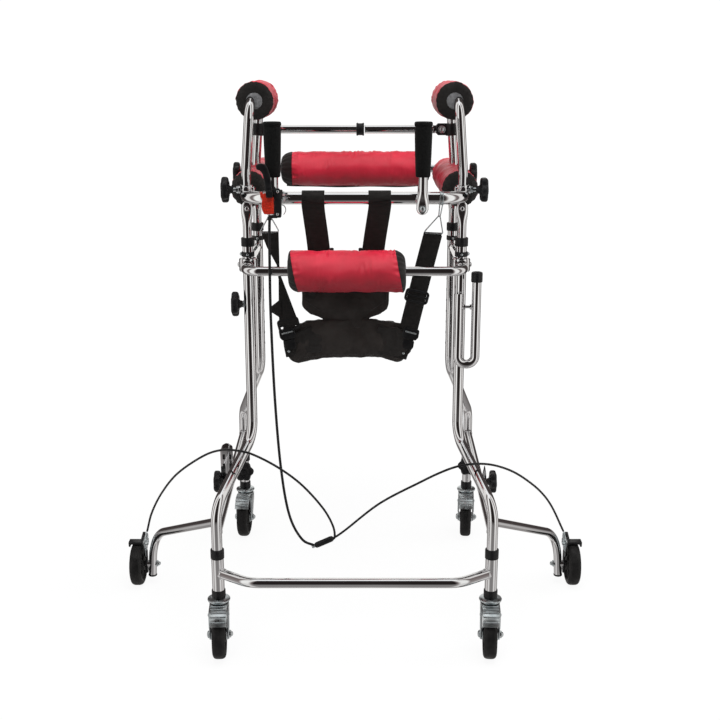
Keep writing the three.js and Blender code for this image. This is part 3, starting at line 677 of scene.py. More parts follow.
def pad_bar():
    back_y = FRONT_Y - 16
    corners = [
        vec(-UPRIGHT_X, back_y, PAD_BAR_Z),
        vec(-UPRIGHT_X, PAD_BAR_Y, PAD_BAR_Z),
        vec(UPRIGHT_X, PAD_BAR_Y, PAD_BAR_Z),
        vec(UPRIGHT_X, back_y, PAD_BAR_Z),
    ]
    parts = [tube(corners, 9.5, 30)]
    for _, sign in SIDES:
        x = sign * UPRIGHT_X
        parts.append(ring(vec(x, FRONT_Y, PAD_BAR_Z - 14), UP, 11.6, 18.6, 28, 3.0))
        parts.append(ring(vec(x, back_y + 3, PAD_BAR_Z), FRONT, 9, 12.2, 12, 2.4))
        parts.append(screw_head(vec(x + sign * 18, FRONT_Y, PAD_BAR_Z), vec(sign, 0, 0), 5, 4))
    make("front_pad_bar_tube", "base", "chrome", *parts, replaces="front_pad_bar")


def crutch_holder():
    inner, outer = 214, 250
    y = FRONT_Y - 23.5
    corners = [vec(inner, y, 726), vec(inner, y, 576), vec(outer, y, 576), vec(outer, y, 768)]
    parts = [
        tube(corners, 9.5, 17.5),
        bar(vec(inner + 8, y, 698), vec(outer - 8, y, 698), 3.2),
        hex_nut(vec(outer - 13, y, 698), RIGHT, 6.0, 4),
        hex_nut(vec(inner + 13, y, 698), LEFT, 6.0, 4),
        *[bar(vec(inner, FRONT_Y - 8, z), vec(inner, y + 8, z), 5) for z in (640, 712)],
    ]
    make("crutch_holder_tube", "base", "chrome", *parts, replaces="crutch_holder")
    cap = [(0, 9.4), (0, 11.2), (1, 11.7), (17, 11.7), (19.5, 11.2)]
    cap += [(20.5, 9.6), (20.5, 7), (17.5, 6.6), (17.5, 0)]
    make("crutch_holder_cap", "base", "plastic", lathe(cap, vec(outer, y, 750), UP))


# ---- wheels and casters ----


def wheel_parts():
    """Tyre and hub about the X axis at the origin."""
    edge = 13.6
    depths = [(0, 15), (2, 16.4), (5.1, 18), (5.6, 21), (5.6, 33), (4.2, 36.0), (1.4, 37.4), (0, 40)]
    depths += [(0.2, 43), (1.4, 46), (3.4, 48.2), (6.2, 49.4), (9.6, 49.95)]
    side = [(edge - depth, radius) for depth, radius in depths]
    profile = [(-edge, 6)] + [(-x, r) for x, r in side] + list(reversed(side)) + [(edge, 6)]
    parts = [lathe(profile, vec(0, 0, 0), RIGHT, 96, closed=True)]
    for k in range(5):
        turn = Matrix.Rotation(2 * pi * k / 5, 4, "X")
        for face in (1, -1):
            low, high = span(face, 7.4, 11.2)
            parts.append(moved(box((low, -2.2, 15), (high, 2.2, 36), 0.9), turn))
    return parts


def fork_cheek(low, high):
    outline = []
    for i in range(13):
        angle = pi * (1 + i / 12)
        outline.append((-CASTER_TRAIL + 11 * cos(angle), WHEEL_RADIUS + 11 * sin(angle)))
    outline += [(2, 72), (14, 90), (14, 106), (-33, 106), (-34, 92)]
    return plate(outline, low, high, "yz", 0.7)


def caster(name, x, y, yaw):
    place = Matrix.Translation(vec(x, y, 0)) @ Matrix.Rotation(radians(yaw), 4, "Z")
    swivel = f"{name}_swivel"
    axle = vec(0, -CASTER_TRAIL, AXLE_Z)
    flange = [(0, 0), (0, 14), (1.2, 19), (4.2, 22.6), (6.4, 23.4), (8.2, 23.0)]
    flange += [(9.6, 20.5), (10.6, 16), (11, 15), (11, 0)]
    housing = [(0, 0), (0, 17.2), (2, 18.4), (6, 18.6), (8.4, 17), (8.4, 0)]
    crown = [(-20, 104), (-19, 106.2), (-16.6, 107.6)]
    crown += [(16.6, 107.6), (19, 106.2), (20, 104), (20, 100), (-20, 100)]
    parts = [
        lathe(flange, vec(0, 0, 112), UP),
        lathe(housing, vec(0, 0, 105), UP),
        plate(crown, -33, 14, "xz", 0.6),
        fork_cheek(17, 20),
        fork_cheek(-20, -17),
        bar(axle - RIGHT * 24, axle + RIGHT * 24, 4.6),
        hex_nut(axle + RIGHT * 20, RIGHT, 7.6, 4.2),
        screw_head(axle + RIGHT * 23.5, RIGHT, 5.2, 4.5),
        screw_head(axle + LEFT * 20, LEFT, 7.8, 5.2),
        screw_head(vec(-20, -27, 96), LEFT, 3.4, 2.2),
        screw_head(vec(20, -27, 96), RIGHT, 3.4, 2.2),
        ring(axle + RIGHT * 13, RIGHT, 5, 12.5, 3.4, 1.0),
        ring(axle + LEFT * 16.4, RIGHT, 5, 12.5, 3.4, 1.0),
    ]
    for face in (-1, 1):
        rib = [(-27, 64), (-20, 64), (-12, 96), (-26, 96)]
        low, high = span(face, 19.6, 20.9)
        parts.append(plate(rounded(rib, 3), low, high, "yz", 0.4))
    make(f"{name}_fork", swivel, "zinc", *[moved(p, place) for p in parts], replaces=f"{name}_caster_fork")
    race = moved(ring(vec(0, 0, 109.5), UP, 10, 19.6, 3.6, 1.2), place)
    make(f"{name}_race_seal", swivel, "plastic", race)
    tyre = [moved(moved(p, Matrix.Translation(axle)), place) for p in wheel_parts()]
    make(f"{name}_tyre", f"{name}_wheel", "rubber", *tyre, replaces=f"{name}_caster_wheel")
    make(f"{name}_brake_pedal", f"{name}_pedal", "zinc", *pedal(place), replaces=f"{name}_caster_pedal")


def pedal(place):
    """The ribbed foot pedal that slopes forward over the tyre."""
    top = smooth_outline([(-24, 114), (-36, 113), (-49, 108.5), (-60, 100), (-67, 88.5)])
    low = smooth_outline([(-64.5, 87.5), (-57, 97), (-47, 104.6), (-35, 109), (-24, 110.4)])
    parts = [plate(top + low, -17, 17, "yz", 0.6)]
    for share in (0.1, 0.28, 0.46, 0.64, 0.82):
        y, z = top[round(share * (len(top) - 1))]
        parts.append(bar(vec(-16, y, z - 0.1), vec(16, y, z - 0.1), 1.7, 16))
    for face in (-1, 1):
        low_x, high_x = span(face, 15, 17.2)
        skirt = [(-26, 113), (-50, 108), (-62, 97), (-58, 95), (-46, 101), (-26, 105)]
        parts.append(plate(rounded(skirt, 3), low_x, high_x, "yz", 0.4))
    return [moved(part, place) for part in parts]


def outrigger(name, sign):
    x, y = OUTRIGGER_WHEEL_X, OUTRIGGER_Y
    tube_x = OUTRIGGER_TUBE_X
    out = vec(sign, 0, 0)
    rail_point = vec(sign * 278, -222, 263)
    corners = [rail_point, vec(sign * 470, y, 125), vec(sign * tube_x, y, 24)]
    start = (corners[1] - corners[0]).normalized()
    parts = [
        sweep(arc_path([rail_point + start * 4, *corners[1:]], 100), circle(9.3)),
        weld(rail_point + start * 10.5, start, 9.3, sign * 7),
        bar(vec(sign * (tube_x - 14), y, AXLE_Z), vec(sign * (x + 15), y, AXLE_Z), 4.6),
        bar(vec(sign * tube_x, y, AXLE_Z), vec(sign * (x - 14.6), y, AXLE_Z), 8),
    ]
    make(f"outrigger_tube_{name}", "base", "chrome", *parts, replaces=f"outrigger_arm_{name}")
    hardware = [
        hex_nut(vec(sign * (tube_x - 9.2), y, AXLE_Z), -out, 7.4, 5),
        screw_head(vec(sign * (tube_x - 14), y, AXLE_Z), -out, 5, 6),
        screw_head(vec(sign * (x + 14.4), y, AXLE_Z), out, 7.2, 4.5),
        *brake_linkage(sign),
    ]
    make(f"outrigger_hardware_{name}", "base", "zinc", *hardware)
    plug = [(0, 0), (0, 9.4), (1, 10), (3, 10), (4, 9.6), (4, 0)]
    guard = plate(rounded([(y - 8, 84), (y + 8, 84), (y + 9, 30), (y, 26), (y - 9, 30)], 6), 0, 3, "yz", 0.5)
    guard = moved(guard, Matrix.Translation(vec(sign * 488 - 1.5, 0, 0)))
    black = [lathe(plug, vec(sign * tube_x, y, 20), UP), guard]
    make(f"outrigger_black_{name}", "base", "plastic", *black)
    place = Matrix.Translation(vec(sign * x, y, AXLE_Z))
    tyre = [moved(p, place) for p in wheel_parts()]
    wheel = f"outrigger_wheel_{name}"
    make(f"outrigger_tyre_{name}", wheel, "rubber", *tyre, replaces=wheel)
    brake = f"brake_shoe_{name}"
    make(f"outrigger_shoe_{name}", brake, "plastic", *shoe(sign), replaces=brake)


def brake_linkage(sign):
    """Barrel adjuster, cable clamp and side plates between the outrigger tube and the brake."""
    y = OUTRIGGER_Y
    top = vec(sign * 485, y - 12, 112)
    up = vec(-sign * 0.1, -0.1, 1).normalized()
    barrel = [(0, 0), (0, 5), (3, 5.8), (6, 5.8), (7, 4.2), (14, 3.6), (15, 2.8), (23, 2.5), (23, 0)]
    side = [(28, 116), (-16, 114), (-20, 104), (-8, 70), (4, 62), (10, 78), (28, 104)]
    side = [(y + a, b) for a, b in side]
    low, high = span(sign, 487.5, 489.7)
    return [
        lathe(barrel, top, up),
        hex_nut(top - vec(0, 0, 5), UP, 6.6, 5),
        plate(rounded(side, 5), low, high, "yz", 0.4),
        screw_head(vec(sign * 487.5, y - 10, 90), vec(-sign, 0, 0), 3.4, 2.4),
        hex_nut(vec(sign * 487.5, y - 12, 104), vec(-sign, 0, 0), 5, 4),
        bar(vec(sign * 480, y - 12, 107), vec(sign * 489, y - 12, 107), 5),
    ]


def shoe(sign):
    """The brake shoe: a narrow bar across the top of the tyre on an arm from its pivot."""
    x = sign * OUTRIGGER_WHEEL_X
    y = OUTRIGGER_Y
    inner, outer = sorted((x - sign * 13, x + sign * 19))
    block_outline = rounded([(y - 11, 101.6), (y + 9, 101.6), (y + 9, 108.4), (y - 11, 107.6)], 1.6)
    lip = sorted((x + sign * 15.5, x + sign * 19))
    arm = sorted((x - sign * 13, x - sign * 8))
    lip_outline = rounded([(y - 11, 107), (y + 9, 107), (y + 6, 95), (y - 9, 95)], 2)
    arm_outline = rounded([(y - 6, 104), (y - 6, 108.5), (y + 26, 118), (y + 33, 112), (y + 26, 106)], 3)
    return [
        plate(block_outline, inner, outer, "yz", 0.9),
        plate(lip_outline, *lip, "yz", 0.7),
        plate(arm_outline, *arm, "yz", 0.7),
        bar(vec(sign * 491, y + 26, 112), vec(sign * 500, y + 26, 112), 6),
    ]


# ---- star knobs ----


def star_knob(name, body, at, along, neck):
    """Six soft lobes on a neck; the neck starts at the surface it clamps."""
    turn = RIGHT.rotation_difference(along).to_matrix().to_4x4()
    place = Matrix.Translation(at) @ turn
    profile = [(0, 0.42), (0, 0.74), (0.5, 0.86), (2.0, 0.96), (5.0, 1.0), (11.0, 1.0)]
    profile += [(13.4, 0.95), (14.6, 0.85), (15.0, 0.74), (14.6, 0.62), (13.6, 0.52)]
    steps = 96
    bm = bmesh.new()
    rings = []
    for depth, share in profile:
        points = []
        for k in range(steps):
            angle = 2 * pi * k / steps
            lobe = 0.5 + 0.5 * cos(6 * angle)
            radius = 21.4 + 4.6 * lobe**0.65
            radius = radius * share if share > 0.75 else 21.5 * share
            points.append(bm.verts.new(vec(neck + depth, radius * cos(angle), radius * sin(angle)) * MM))
        rings.append(points)
    hub = neck - 9
    stem = [(hub, 0), (hub, 5.6), (hub + 1, 6.4), (neck - 3, 8), (neck + 0.4, 11.5), (neck + 0.4, 0)]
    cap = [(0, 0), (0, 8), (1.2, 7.6), (1.8, 6.4), (1.8, 0)]
    parts = [
        skin(bm, rings),
        lathe(stem, vec(0, 0, 0), RIGHT, 32),
        lathe(cap, vec(neck + 13.2, 0, 0), RIGHT, 32),
    ]
    make(f"{name}_head", body, "plastic", *[moved(p, place) for p in parts], replaces=name)
    metal = [bar(vec(-2, 0, 0), vec(hub + 1, 0, 0), 4), ring(vec(0, 0, 0), RIGHT, 3.6, 7.6, 1.6, 0.5)]
    if hub > 8:
        metal.append(hex_nut(vec(1.6, 0, 0), RIGHT, 7.2, 5))
    make(f"{name}_bolt", body, "zinc", *[moved(part, place) for part in metal])


def knobs():
    knob_list = [("front_upright_knob", vec(-UPRIGHT_X - 11.4, FRONT_Y, 699), LEFT, 10)]
    for name, sign in SIDES:
        out = vec(sign, 0, 0)
        x = sign * (UPRIGHT_X + 14.4)
        leg = vec(sign * REAR_FOOT[0], REAR_FOOT[1] - 11.4, 178 if sign < 0 else 194)
        knob_list += [
            (f"upper_front_knob_{name}", vec(x, FRONT_Y, FRONT_KNOB_Z), out, 21),
            (f"upper_rear_knob_{name}", vec(x, REAR_Y, REAR_KNOB_Z), out, 21),
            (f"rear_leg_knob_{name}", leg, FRONT, 14),
            (f"side_rail_knob_{name}", vec(sign * 294, RAIL_KNOB_Y, RAIL_KNOB_Z), out, 14),
        ]
    for name, at, along, neck in knob_list:
        star_knob(name, name, at, along, neck)


# ---- upper frame ----


def upper_frame():
    z, y = U_BAR_Z, U_BAR_FRONT_Y
    corners = [vec(-UPRIGHT_X, 314, z), vec(-UPRIGHT_X, y, z), vec(UPRIGHT_X, y, z), vec(UPRIGHT_X, 314, z)]
    parts = [sweep(arc_path(corners, 50, 3), circle(U_BAR_RADIUS, 48))]
    for _, sign in SIDES:
        for post_y, knob_z, height in ((FRONT_Y, FRONT_KNOB_Z, 22), (REAR_Y, REAR_KNOB_Z, 34)):
            centre = vec(sign * UPRIGHT_X, post_y, z)
            parts.append(ring(centre, UP, 10.4, 13.4, height, 1.2))
            parts.append(weld(centre + vec(0, 0, 12), UP, 13, sign * 11 + post_y))
            boss = vec(sign * (UPRIGHT_X + 9), post_y, knob_z)
            parts.append(bar(boss, boss + vec(sign * 6.2, 0, 0), 7.4))
            parts.append(screw_head(vec(sign * (UPRIGHT_X - 13), post_y, knob_z), vec(-sign, 0, 0), 7, 5))
        parts.append(screw_head(vec(sign * UPRIGHT_X, FRONT_Y - 13, 936), FRONT, 7.2, 3))
        low, high = sorted((sign * UPRIGHT_X - 10, sign * UPRIGHT_X + 10))
        parts.append(box((low, 306, 917), (high, 340, 927), 2.5))
    parts.append(bar(vec(-UPRIGHT_X, GATE_Y, 925), vec(-UPRIGHT_X, GATE_Y, GATE_Z + 15), 4))
    parts.append(screw_head(vec(-UPRIGHT_X, GATE_Y, GATE_Z + 14), UP, 7, 4))
    plug = [(0, 0), (0, 12.9), (0.8, 13.2), (2.4, 12.8), (3.4, 10), (3.6, 0)]
    for _, sign in SIDES:
        parts.append(lathe(plug, vec(sign * UPRIGHT_X, 313, z), BACK))
    make("upper_u_bar_tube", "upper_frame", "chrome", *parts, replaces="upper_u_bar")
    for name, sign in SIDES:
        for where, post_y in (("front", FRONT_Y), ("rear", REAR_Y)):
            post(f"{where}_post", name, sign * UPRIGHT_X, post_y)


def pressed_tube(x, y, heights, wide, deep):
    """An upright tube pressed flat where its half width and half depth differ."""
    points = [vec(x, y, height) for height in heights]
    return sweep(points, circle(1), side=RIGHT, scale=lambda i: (wide[i], deep[i]))


def post(kind, name, x, y):
    """A telescopic post: round below, pressed flat into a riveted tongue under the U-bar."""
    heights = [640, 862, 868, 874, 880, 886, 892, 898, 904, 908, 909.5]
    wide = [9.1, 9.1, 9.4, 10.2, 11.0, 11.6, 11.8, 11.8, 11.2, 9.6, 8.0]
    deep = [9.1, 9.1, 8.7, 7.6, 6.0, 4.6, 3.8, 3.6, 3.6, 3.5, 3.0]
    body = pressed_tube(x, y, heights, wide, deep)
    rivet = screw_head(vec(x, y - 3.4, 897), FRONT, 4.6, 2.6)
    rivet_back = screw_head(vec(x, y + 3.4, 897), BACK, 4.6, 2.6)
    washer = ring(vec(x, y - 3.3, 897), FRONT, 3, 6.4, 1.0, 0.3)
    node = f"{kind}_{name}"
    make(f"{node}_tube", "upper_frame", "chrome", body, rivet, rivet_back, washer, replaces=node)


def rear_gate():
    bar_tube = sweep([vec(-UPRIGHT_X + 4, GATE_Y, GATE_Z), vec(UPRIGHT_X + 6, GATE_Y, GATE_Z)], circle(9.5))
    knuckle = ring(vec(-UPRIGHT_X, GATE_Y, GATE_Z - 10), UP, 5, 12, 20, 2)
    make("back_bar_tube", "rear_gate", "chrome", bar_tube, knuckle, replaces="back_bar")
    cap = [(0, 0), (0, 10.4), (4, 10.6), (6, 9.6), (7, 6), (7, 0)]
    make("back_bar_cap", "rear_gate", "plastic", lathe(cap, vec(UPRIGHT_X + 1, GATE_Y, GATE_Z), RIGHT))


# ---- underarm supports ----


def underarm():
    for name, sign in SIDES:
        low, high = sign * UPRIGHT_X, sign * 208
        corners = [
            vec(low, FRONT_Y, 915),
            vec(low, FRONT_Y, 966),
            vec(high, FRONT_Y, UNDERARM_TOP),
            vec(high, REAR_Y, UNDERARM_TOP),
            vec(low, REAR_Y, 966),
            vec(low, REAR_Y, 915),
        ]
        support = sweep(arc_path(corners, 34, 3), circle(10, 48))
        node_name = f"underarm_support_{name}"
        make(f"underarm_support_tube_{name}", "underarm_frame", "chrome", support, replaces=node_name)
        clamp(name, sign)
    crossbar()


def clamp(name, sign):
    y, z = CROSSBAR_Y, CROSSBAR_Z
    leg_x = sign * 213.1
    lean = vec(-sign * 11, 0, 143).normalized()
    parts = [ring(vec(leg_x, y, z) - lean * 13, lean, 10.4, 15, 26, 1.6)]
    for face in (-1, 1):
        low, high = sorted((y + face * 3.6, y + face * 8))
        ear = [(sign * 178, z - 8), (sign * 182, z - 12.6), (sign * 206, z - 12.6)]
        ear += [(sign * 206, z + 12.6), (sign * 182, z + 12.6), (sign * 178, z + 8)]
        parts.append(plate(rounded(ear, 3), low, high, "xz", 0.8))
    piece = f"crossbar_clamp_body_{name}"
    make(piece, "underarm_frame", "plastic", *parts, replaces=f"crossbar_clamp_{name}")
    rivets = [
        screw_head(vec(sign * 190, y - 8, z), FRONT, 5.4, 3),
        ring(vec(sign * 190, y - 7.8, z), FRONT, 4, 8.4, 1.8, 0.4),
        screw_head(vec(sign * 190, y + 8, z), BACK, 5.4, 3),
        bar(vec(sign * 190, y - 9, z), vec(sign * 190, y + 9, z), 4),
    ]
    make(f"crossbar_rivet_{name}", "underarm_frame", "zinc", *rivets)


def crossbar():
    y, z = CROSSBAR_Y, CROSSBAR_Z
    for name, sign in SIDES:
        end = 20 if sign < 0 else 21.5
        turns = [radians(angle) for angle in range(-90, 91, 15)]
        tongue = [(sign * (190 + 9 * cos(turn)), z + 9 * sin(turn)) for turn in turns]
        tongue += [(sign * 169, z + 8.6), (sign * 169, z - 8.6)]
        parts = [
            bar(vec(sign * 171.5, y, z), vec(end, y, z), 9.5, 40),
            plate(tongue, y - 2.8, y + 2.8, "xz", 0.5),
        ]
        node = f"upper_crossbar_{name}"
        make(f"{node}_tube", f"crossbar_{name}", "chrome", *parts, replaces=node)
    sleeve = [ring(vec(3, y, z), RIGHT, 10, 13, 17, 1.0)]
    sleeve.append(ring(vec(3, y, z), RIGHT, 10, 14, 4, 1.2))
    sleeve.append(ring(vec(16, y, z), RIGHT, 10, 14, 4, 1.2))
    make("crossbar_lock_sleeve", "crossbar_sleeve", "plastic", *sleeve, replaces="crossbar_sleeve")


# ---- hand grips, lever and lock ----


def grip(name, x):
    body = f"{name}_grip"
    y = GRIP_Y
    heights = [893.2, 894.5, 897, 900, 904, 908, 914, 920, 927, 934, 941, 980]
    wide = [3, 6.2, 9, 10.9, 12, 12, 12, 11.8, 11.2, 10.5, 10, 10]
    deep = [3, 3.7, 4, 4, 4, 4, 4.4, 5.4, 7.2, 8.8, 10, 10]
    stem = [
        pressed_tube(x, y, heights, wide, deep),
        bar(vec(x, y - 6, GRIP_PIVOT_Z), vec(x, U_BAR_FRONT_Y - 11.6, GRIP_PIVOT_Z), 4.4),
        hex_nut(vec(x, y + 4, GRIP_PIVOT_Z), BACK, 6.6, 4.5),
    ]
    make(f"grip_stem_tube_{name}", body, "chrome", *stem, replaces=f"grip_stem_{name}")
    bolt = [
        ring(vec(x, y - 3.8, GRIP_PIVOT_Z), FRONT, 3, 7.6, 1.4, 0.4),
        screw_head(vec(x, y - 5, GRIP_PIVOT_Z), FRONT, 5.6, 3.6),
    ]
    make(f"grip_bolt_{name}", body, "zinc", *bolt)
    base = 967
    profile = [(0, 0), (0, 10.2), (0, 12.6), (0.8, 13.8), (2.6, 14.6), (18, 15.2), (45, 16.2), (75, 17.0)]
    profile += [(93, 17.3), (96, 17.2), (97.2, 16.6), (98.4, 17.2), (99.4, 17.9), (103, 17.9)]
    profile += [(105, 17.2), (106, 15.6), (106.2, 12), (105.6, 0)]
    foam = lathe(profile, vec(x, y, base), UP, 64)
    make(f"hand_grip_foam_{name}", body, "foam", foam, replaces=f"hand_grip_{name}")


def brake_control():
    y = GRIP_Y
    right = smooth_outline([(-158, 930), (-159.5, 948), (-162, 970), (-167, 987)])
    left = smooth_outline([(-189, 985), (-179, 979), (-174, 960), (-171, 930)])
    tip = [(-171, 993.5), (-178, 995.5), (-185, 995), (-189.5, 992)]
    parts = [
        plate(right + tip + left, y - 31, y - 23, "xz", 2.2, 3),
        bar(vec(-164.5, y - 32, 937), vec(-164.5, y - 22.8, 937), 7.2),
    ]
    make("brake_lever_blade", "brake_lever", "plastic", *parts, replaces="brake_lever")
    lock = [(-157, 898), (-165, 896.5), (-176, 897), (-180, 905), (-181, 914), (-179.5, 926), (-183, 931)]
    lock += [(-183.5, 940), (-180, 940.5), (-177.5, 935.5), (-174, 939), (-171, 934), (-166, 933)]
    lock.append((-157, 930))
    ribs = []
    for k in range(4):
        z = 904 + k * 6
        ribs.append(box((-176, y - 23.3, z), (-161, y - 22.2, z + 1.6), 0.3))
    body = plate(rounded(lock, 1.6), y - 22.4, y - 14.8, "xz", 1.2, 3)
    make("parking_lock_body", "parking_lock", "red_plastic", body, *ribs, replaces="parking_lock")
    outline = [(-157, 890), (-143, 890), (-142, 900), (-142, 940), (-146, 947), (-156, 947)]
    perch = [
        plate(rounded(outline, 3), y - 21.8, y - 14, "xz", 2.0, 3),
        ring(vec(-159, y, 926), UP, 10.2, 13, 18, 1.5),
        box((-150, y - 18, 926), (-140, y - 10, 944), 2),
        lathe([(0, 0), (0, 4.2), (6, 4.2), (7, 3.4), (7, 0)], vec(-166, y - 17, 885), UP),
        box((-168, y - 21, 889), (-150, y - 14, 895), 1.5),
    ]
    make("lever_perch", "left_grip", "plastic", *perch)
    curl = [vec(-143, y - 18, 916), vec(-136, y - 18, 912), vec(-134, y - 18, 904), vec(-138, y - 18, 896)]
    bolts = [
        hex_nut(vec(-141, y - 12, 936), RIGHT, 5.2, 5),
        bar(vec(-142, y - 12, 936), vec(-130, y - 12, 936), 2.8),
        hex_nut(vec(-142, y - 12, 925), RIGHT, 4.6, 5),
        screw_head(vec(-138, y - 12, 925), RIGHT, 3.6, 4),
        sweep(smooth_path(curl, 6), strap_section(6, 1.6), side=BACK),
        screw_head(vec(-149, y - 21.6, 941), FRONT, 3.0, 2),
        screw_head(vec(-150, y - 21.6, 897), FRONT, 3.0, 2),
    ]
    make("lever_perch_bolts", "left_grip", "zinc", *bolts)


# ---- pads ----


def pad_shape(pad):
    """A padded sleeve along X at the origin, in mm: vertices, quads, which quads are cover, pinned points."""
    around = 80
    half = pad["length"] / 2
    dome = pad["dome"]
    radius = pad["radius"]
    steps = 9
    ends = []
    for i in range(steps):
        share = 1 - i / steps
        bulge = sqrt(1 - share * share)
        ends.append((-half + dome * (1 - share), pad["neck"] + (radius - pad["neck"]) * bulge, share**2))
    inner = half - dome
    count = max(10, round(2 * inner / 5))
    middle = [(-inner + 2 * inner * i / count, radius, 0.0) for i in range(count + 1)]
    stations = ends + middle + [(-x, r, share) for x, r, share in reversed(ends)]
    vertices = []
    for x, r, share in stations:
        gather = max(0.0, 1 - (half - abs(x)) / (dome + 8))
        past_seam = abs(x) - inner
        near_seam = max(0.0, 1 - (past_seam / dome if past_seam > 0 else -past_seam / 40))
        for k in range(around):
            angle = 2 * pi * k / around
            fold = pad["gather"] * gather * sin(pad["pleats"] * angle + pad["seed"])
            lump = 0.03 * noise.noise(vec(x / 30 + pad["seed"], cos(angle) * 1.2, sin(angle) * 1.2))
            rr = r * (0.98 + fold + lump * (1 - share))
            lean = -pad["slant"] * sin(angle) * near_seam
            vertices.append(vec(x + lean, rr * cos(angle), rr * sin(angle) - pad["sag"] * share))
    quads = []
    cover = []
    for i in range(len(stations) - 1):
        for k in range(around):
            after = (k + 1) % around
            quads.append((i * around + k, i * around + after, (i + 1) * around + after, (i + 1) * around + k))
            cover.append(abs(stations[i][0] + stations[i + 1][0]) / 2 < half - pad["cap"])
    pinned = list(range(around)) + list(range(len(vertices) - around, len(vertices)))
    return vertices, quads, cover, pinned


def inflate(obj, pinned, cap_mm, frames=14, pressure=3.0, shrink=-0.02):
    """Runs a short cloth simulation with inner pressure, and keeps every point within cap_mm of its start."""
    rest = [v.co.copy() for v in obj.data.vertices]
    group = obj.vertex_groups.new(name="pin")
    group.add(pinned, 1.0, "REPLACE")
    cloth = obj.modifiers.new("cloth", "CLOTH")
    settings = cloth.settings
    settings.quality = 4
    settings.mass = 0.25
    settings.tension_stiffness = 18
    settings.compression_stiffness = 18
    settings.bending_stiffness = 0.4
    settings.use_pressure = True
    settings.uniform_pressure_force = pressure
    settings.shrink_min = shrink
    settings.vertex_group_mass = "pin"
    settings.effector_weights.gravity = 0
    cloth.collision_settings.use_self_collision = False
    cloth.collision_settings.use_collision = False
    cloth.point_cache.frame_start = 1
    cloth.point_cache.frame_end = frames
    for step in range(1, frames + 1):
        scene.frame_set(step)
    graph = bpy.context.evaluated_depsgraph_get()
    result = obj.evaluated_get(graph).data
    final = []
    for start, vertex in zip(rest, result.vertices):
        move = vertex.co - start
        if move.length > cap_mm * MM:
            move *= cap_mm * MM / move.length
        final.append(start + move)
    obj.modifiers.remove(cloth)
    obj.vertex_groups.clear()
    for vertex, place in zip(obj.data.vertices, final):
        vertex.co = place
    scene.frame_set(1)


def subdivided(mesh, levels=1):
    """The mesh after a subdivision surface, as a new mesh."""
    holder = add_object("holder", mesh)
    surface = holder.modifiers.new("subdivision", "SUBSURF")
    surface.levels = levels
    graph = bpy.context.evaluated_depsgraph_get()
    result = bpy.data.meshes.new_from_object(holder.evaluated_get(graph))
    bpy.data.objects.remove(holder)
    return result


def make_pad(name, body, pad):
    """A red cover with black gathered ends, inflated by cloth and then creased."""
    vertices, quads, cover, pinned = pad_shape(pad)
    mesh = bpy.data.meshes.new(name)
    mesh.from_pydata([v * MM for v in vertices], [], quads)
    obj = add_object(name, mesh)
    inflate(obj, pinned, 2.0)
    bpy.data.objects.remove(obj)
    turn = RIGHT.rotation_difference(pad["axis"]).to_matrix().to_4x4()
    place = Matrix.Translation(pad["centre"] * MM) @ turn
    for part, wanted in (("cover", True), ("ends", False)):
        bm = bmesh.new()
        bm.from_mesh(mesh)
        bm.faces.ensure_lookup_table()
        bmesh.ops.delete(bm, geom=[f for f, c in zip(bm.faces, cover) if c != wanted], context="FACES")
        scratch = bpy.data.meshes.new("scratch")
        bm.to_mesh(scratch)
        bm.free()
        fine = subdivided(scratch)
        crease(fine, pad, wanted)
        bm = bmesh.new()
        bm.from_mesh(fine)
        bmesh.ops.solidify(bm, geom=bm.faces[:], thickness=1.2 * MM)
        bmesh.ops.transform(bm, matrix=place, verts=bm.verts)
        look = "red" if wanted else "black"
        make(f"{name}_{part}", body, look, bm, replaces=name if wanted else (), sharp=75)
        bpy.data.meshes.remove(scratch)
        bpy.data.meshes.remove(fine)
    bpy.data.meshes.remove(mesh)


def crease(mesh, pad, cover):
    """Puckers that run round the pad, gathers beside the seams, and the dent a knob presses in."""
    half = pad["length"] / 2
    folds = pad["folds"] if cover else 0.5
    seed = pad["seed"]
    for vertex in mesh.vertices:
        x, y, z = vertex.co / MM
        distance = sqrt(y * y + z * z)
        angle = atan2(z, y)
        if distance < pad["radius"] * 0.5:
            continue
        round_y, round_z = cos(angle), sin(angle)
        pucker = noise.noise(vec(x / 4.2, round_y * 1.3 + seed, round_z * 1.3))
        patch = max(0.0, noise.noise(vec(x / 34 + seed, round_y * 1.5, round_z * 1.5 + 7)) + 0.12) * 2
        broad = noise.noise(vec(x / 22 + seed, round_y * 1.8, round_z * 1.8 + 3))
        gather = max(0.0, 1 - abs(abs(x) - (half - pad["cap"])) / 16)
        radial = noise.noise(vec(x / 60 + seed, round_y * 6, round_z * 6))
        depth = folds * (pucker * patch * 1.5 + broad * 1.2 + radial * gather * 1.8) - 0.5 * gather**4
        if "dent" in pad:
            near = sqrt((x - pad["dent"][0]) ** 2 + (z - pad["dent"][1]) ** 2)
            if y * pad["dent"][2] > 0:
                depth -= 7.5 * min(1.0, max(0.0, (42 - near) / 14))
        scale = 1 + depth / distance
        vertex.co.y *= scale
        vertex.co.z = (z * scale) * MM


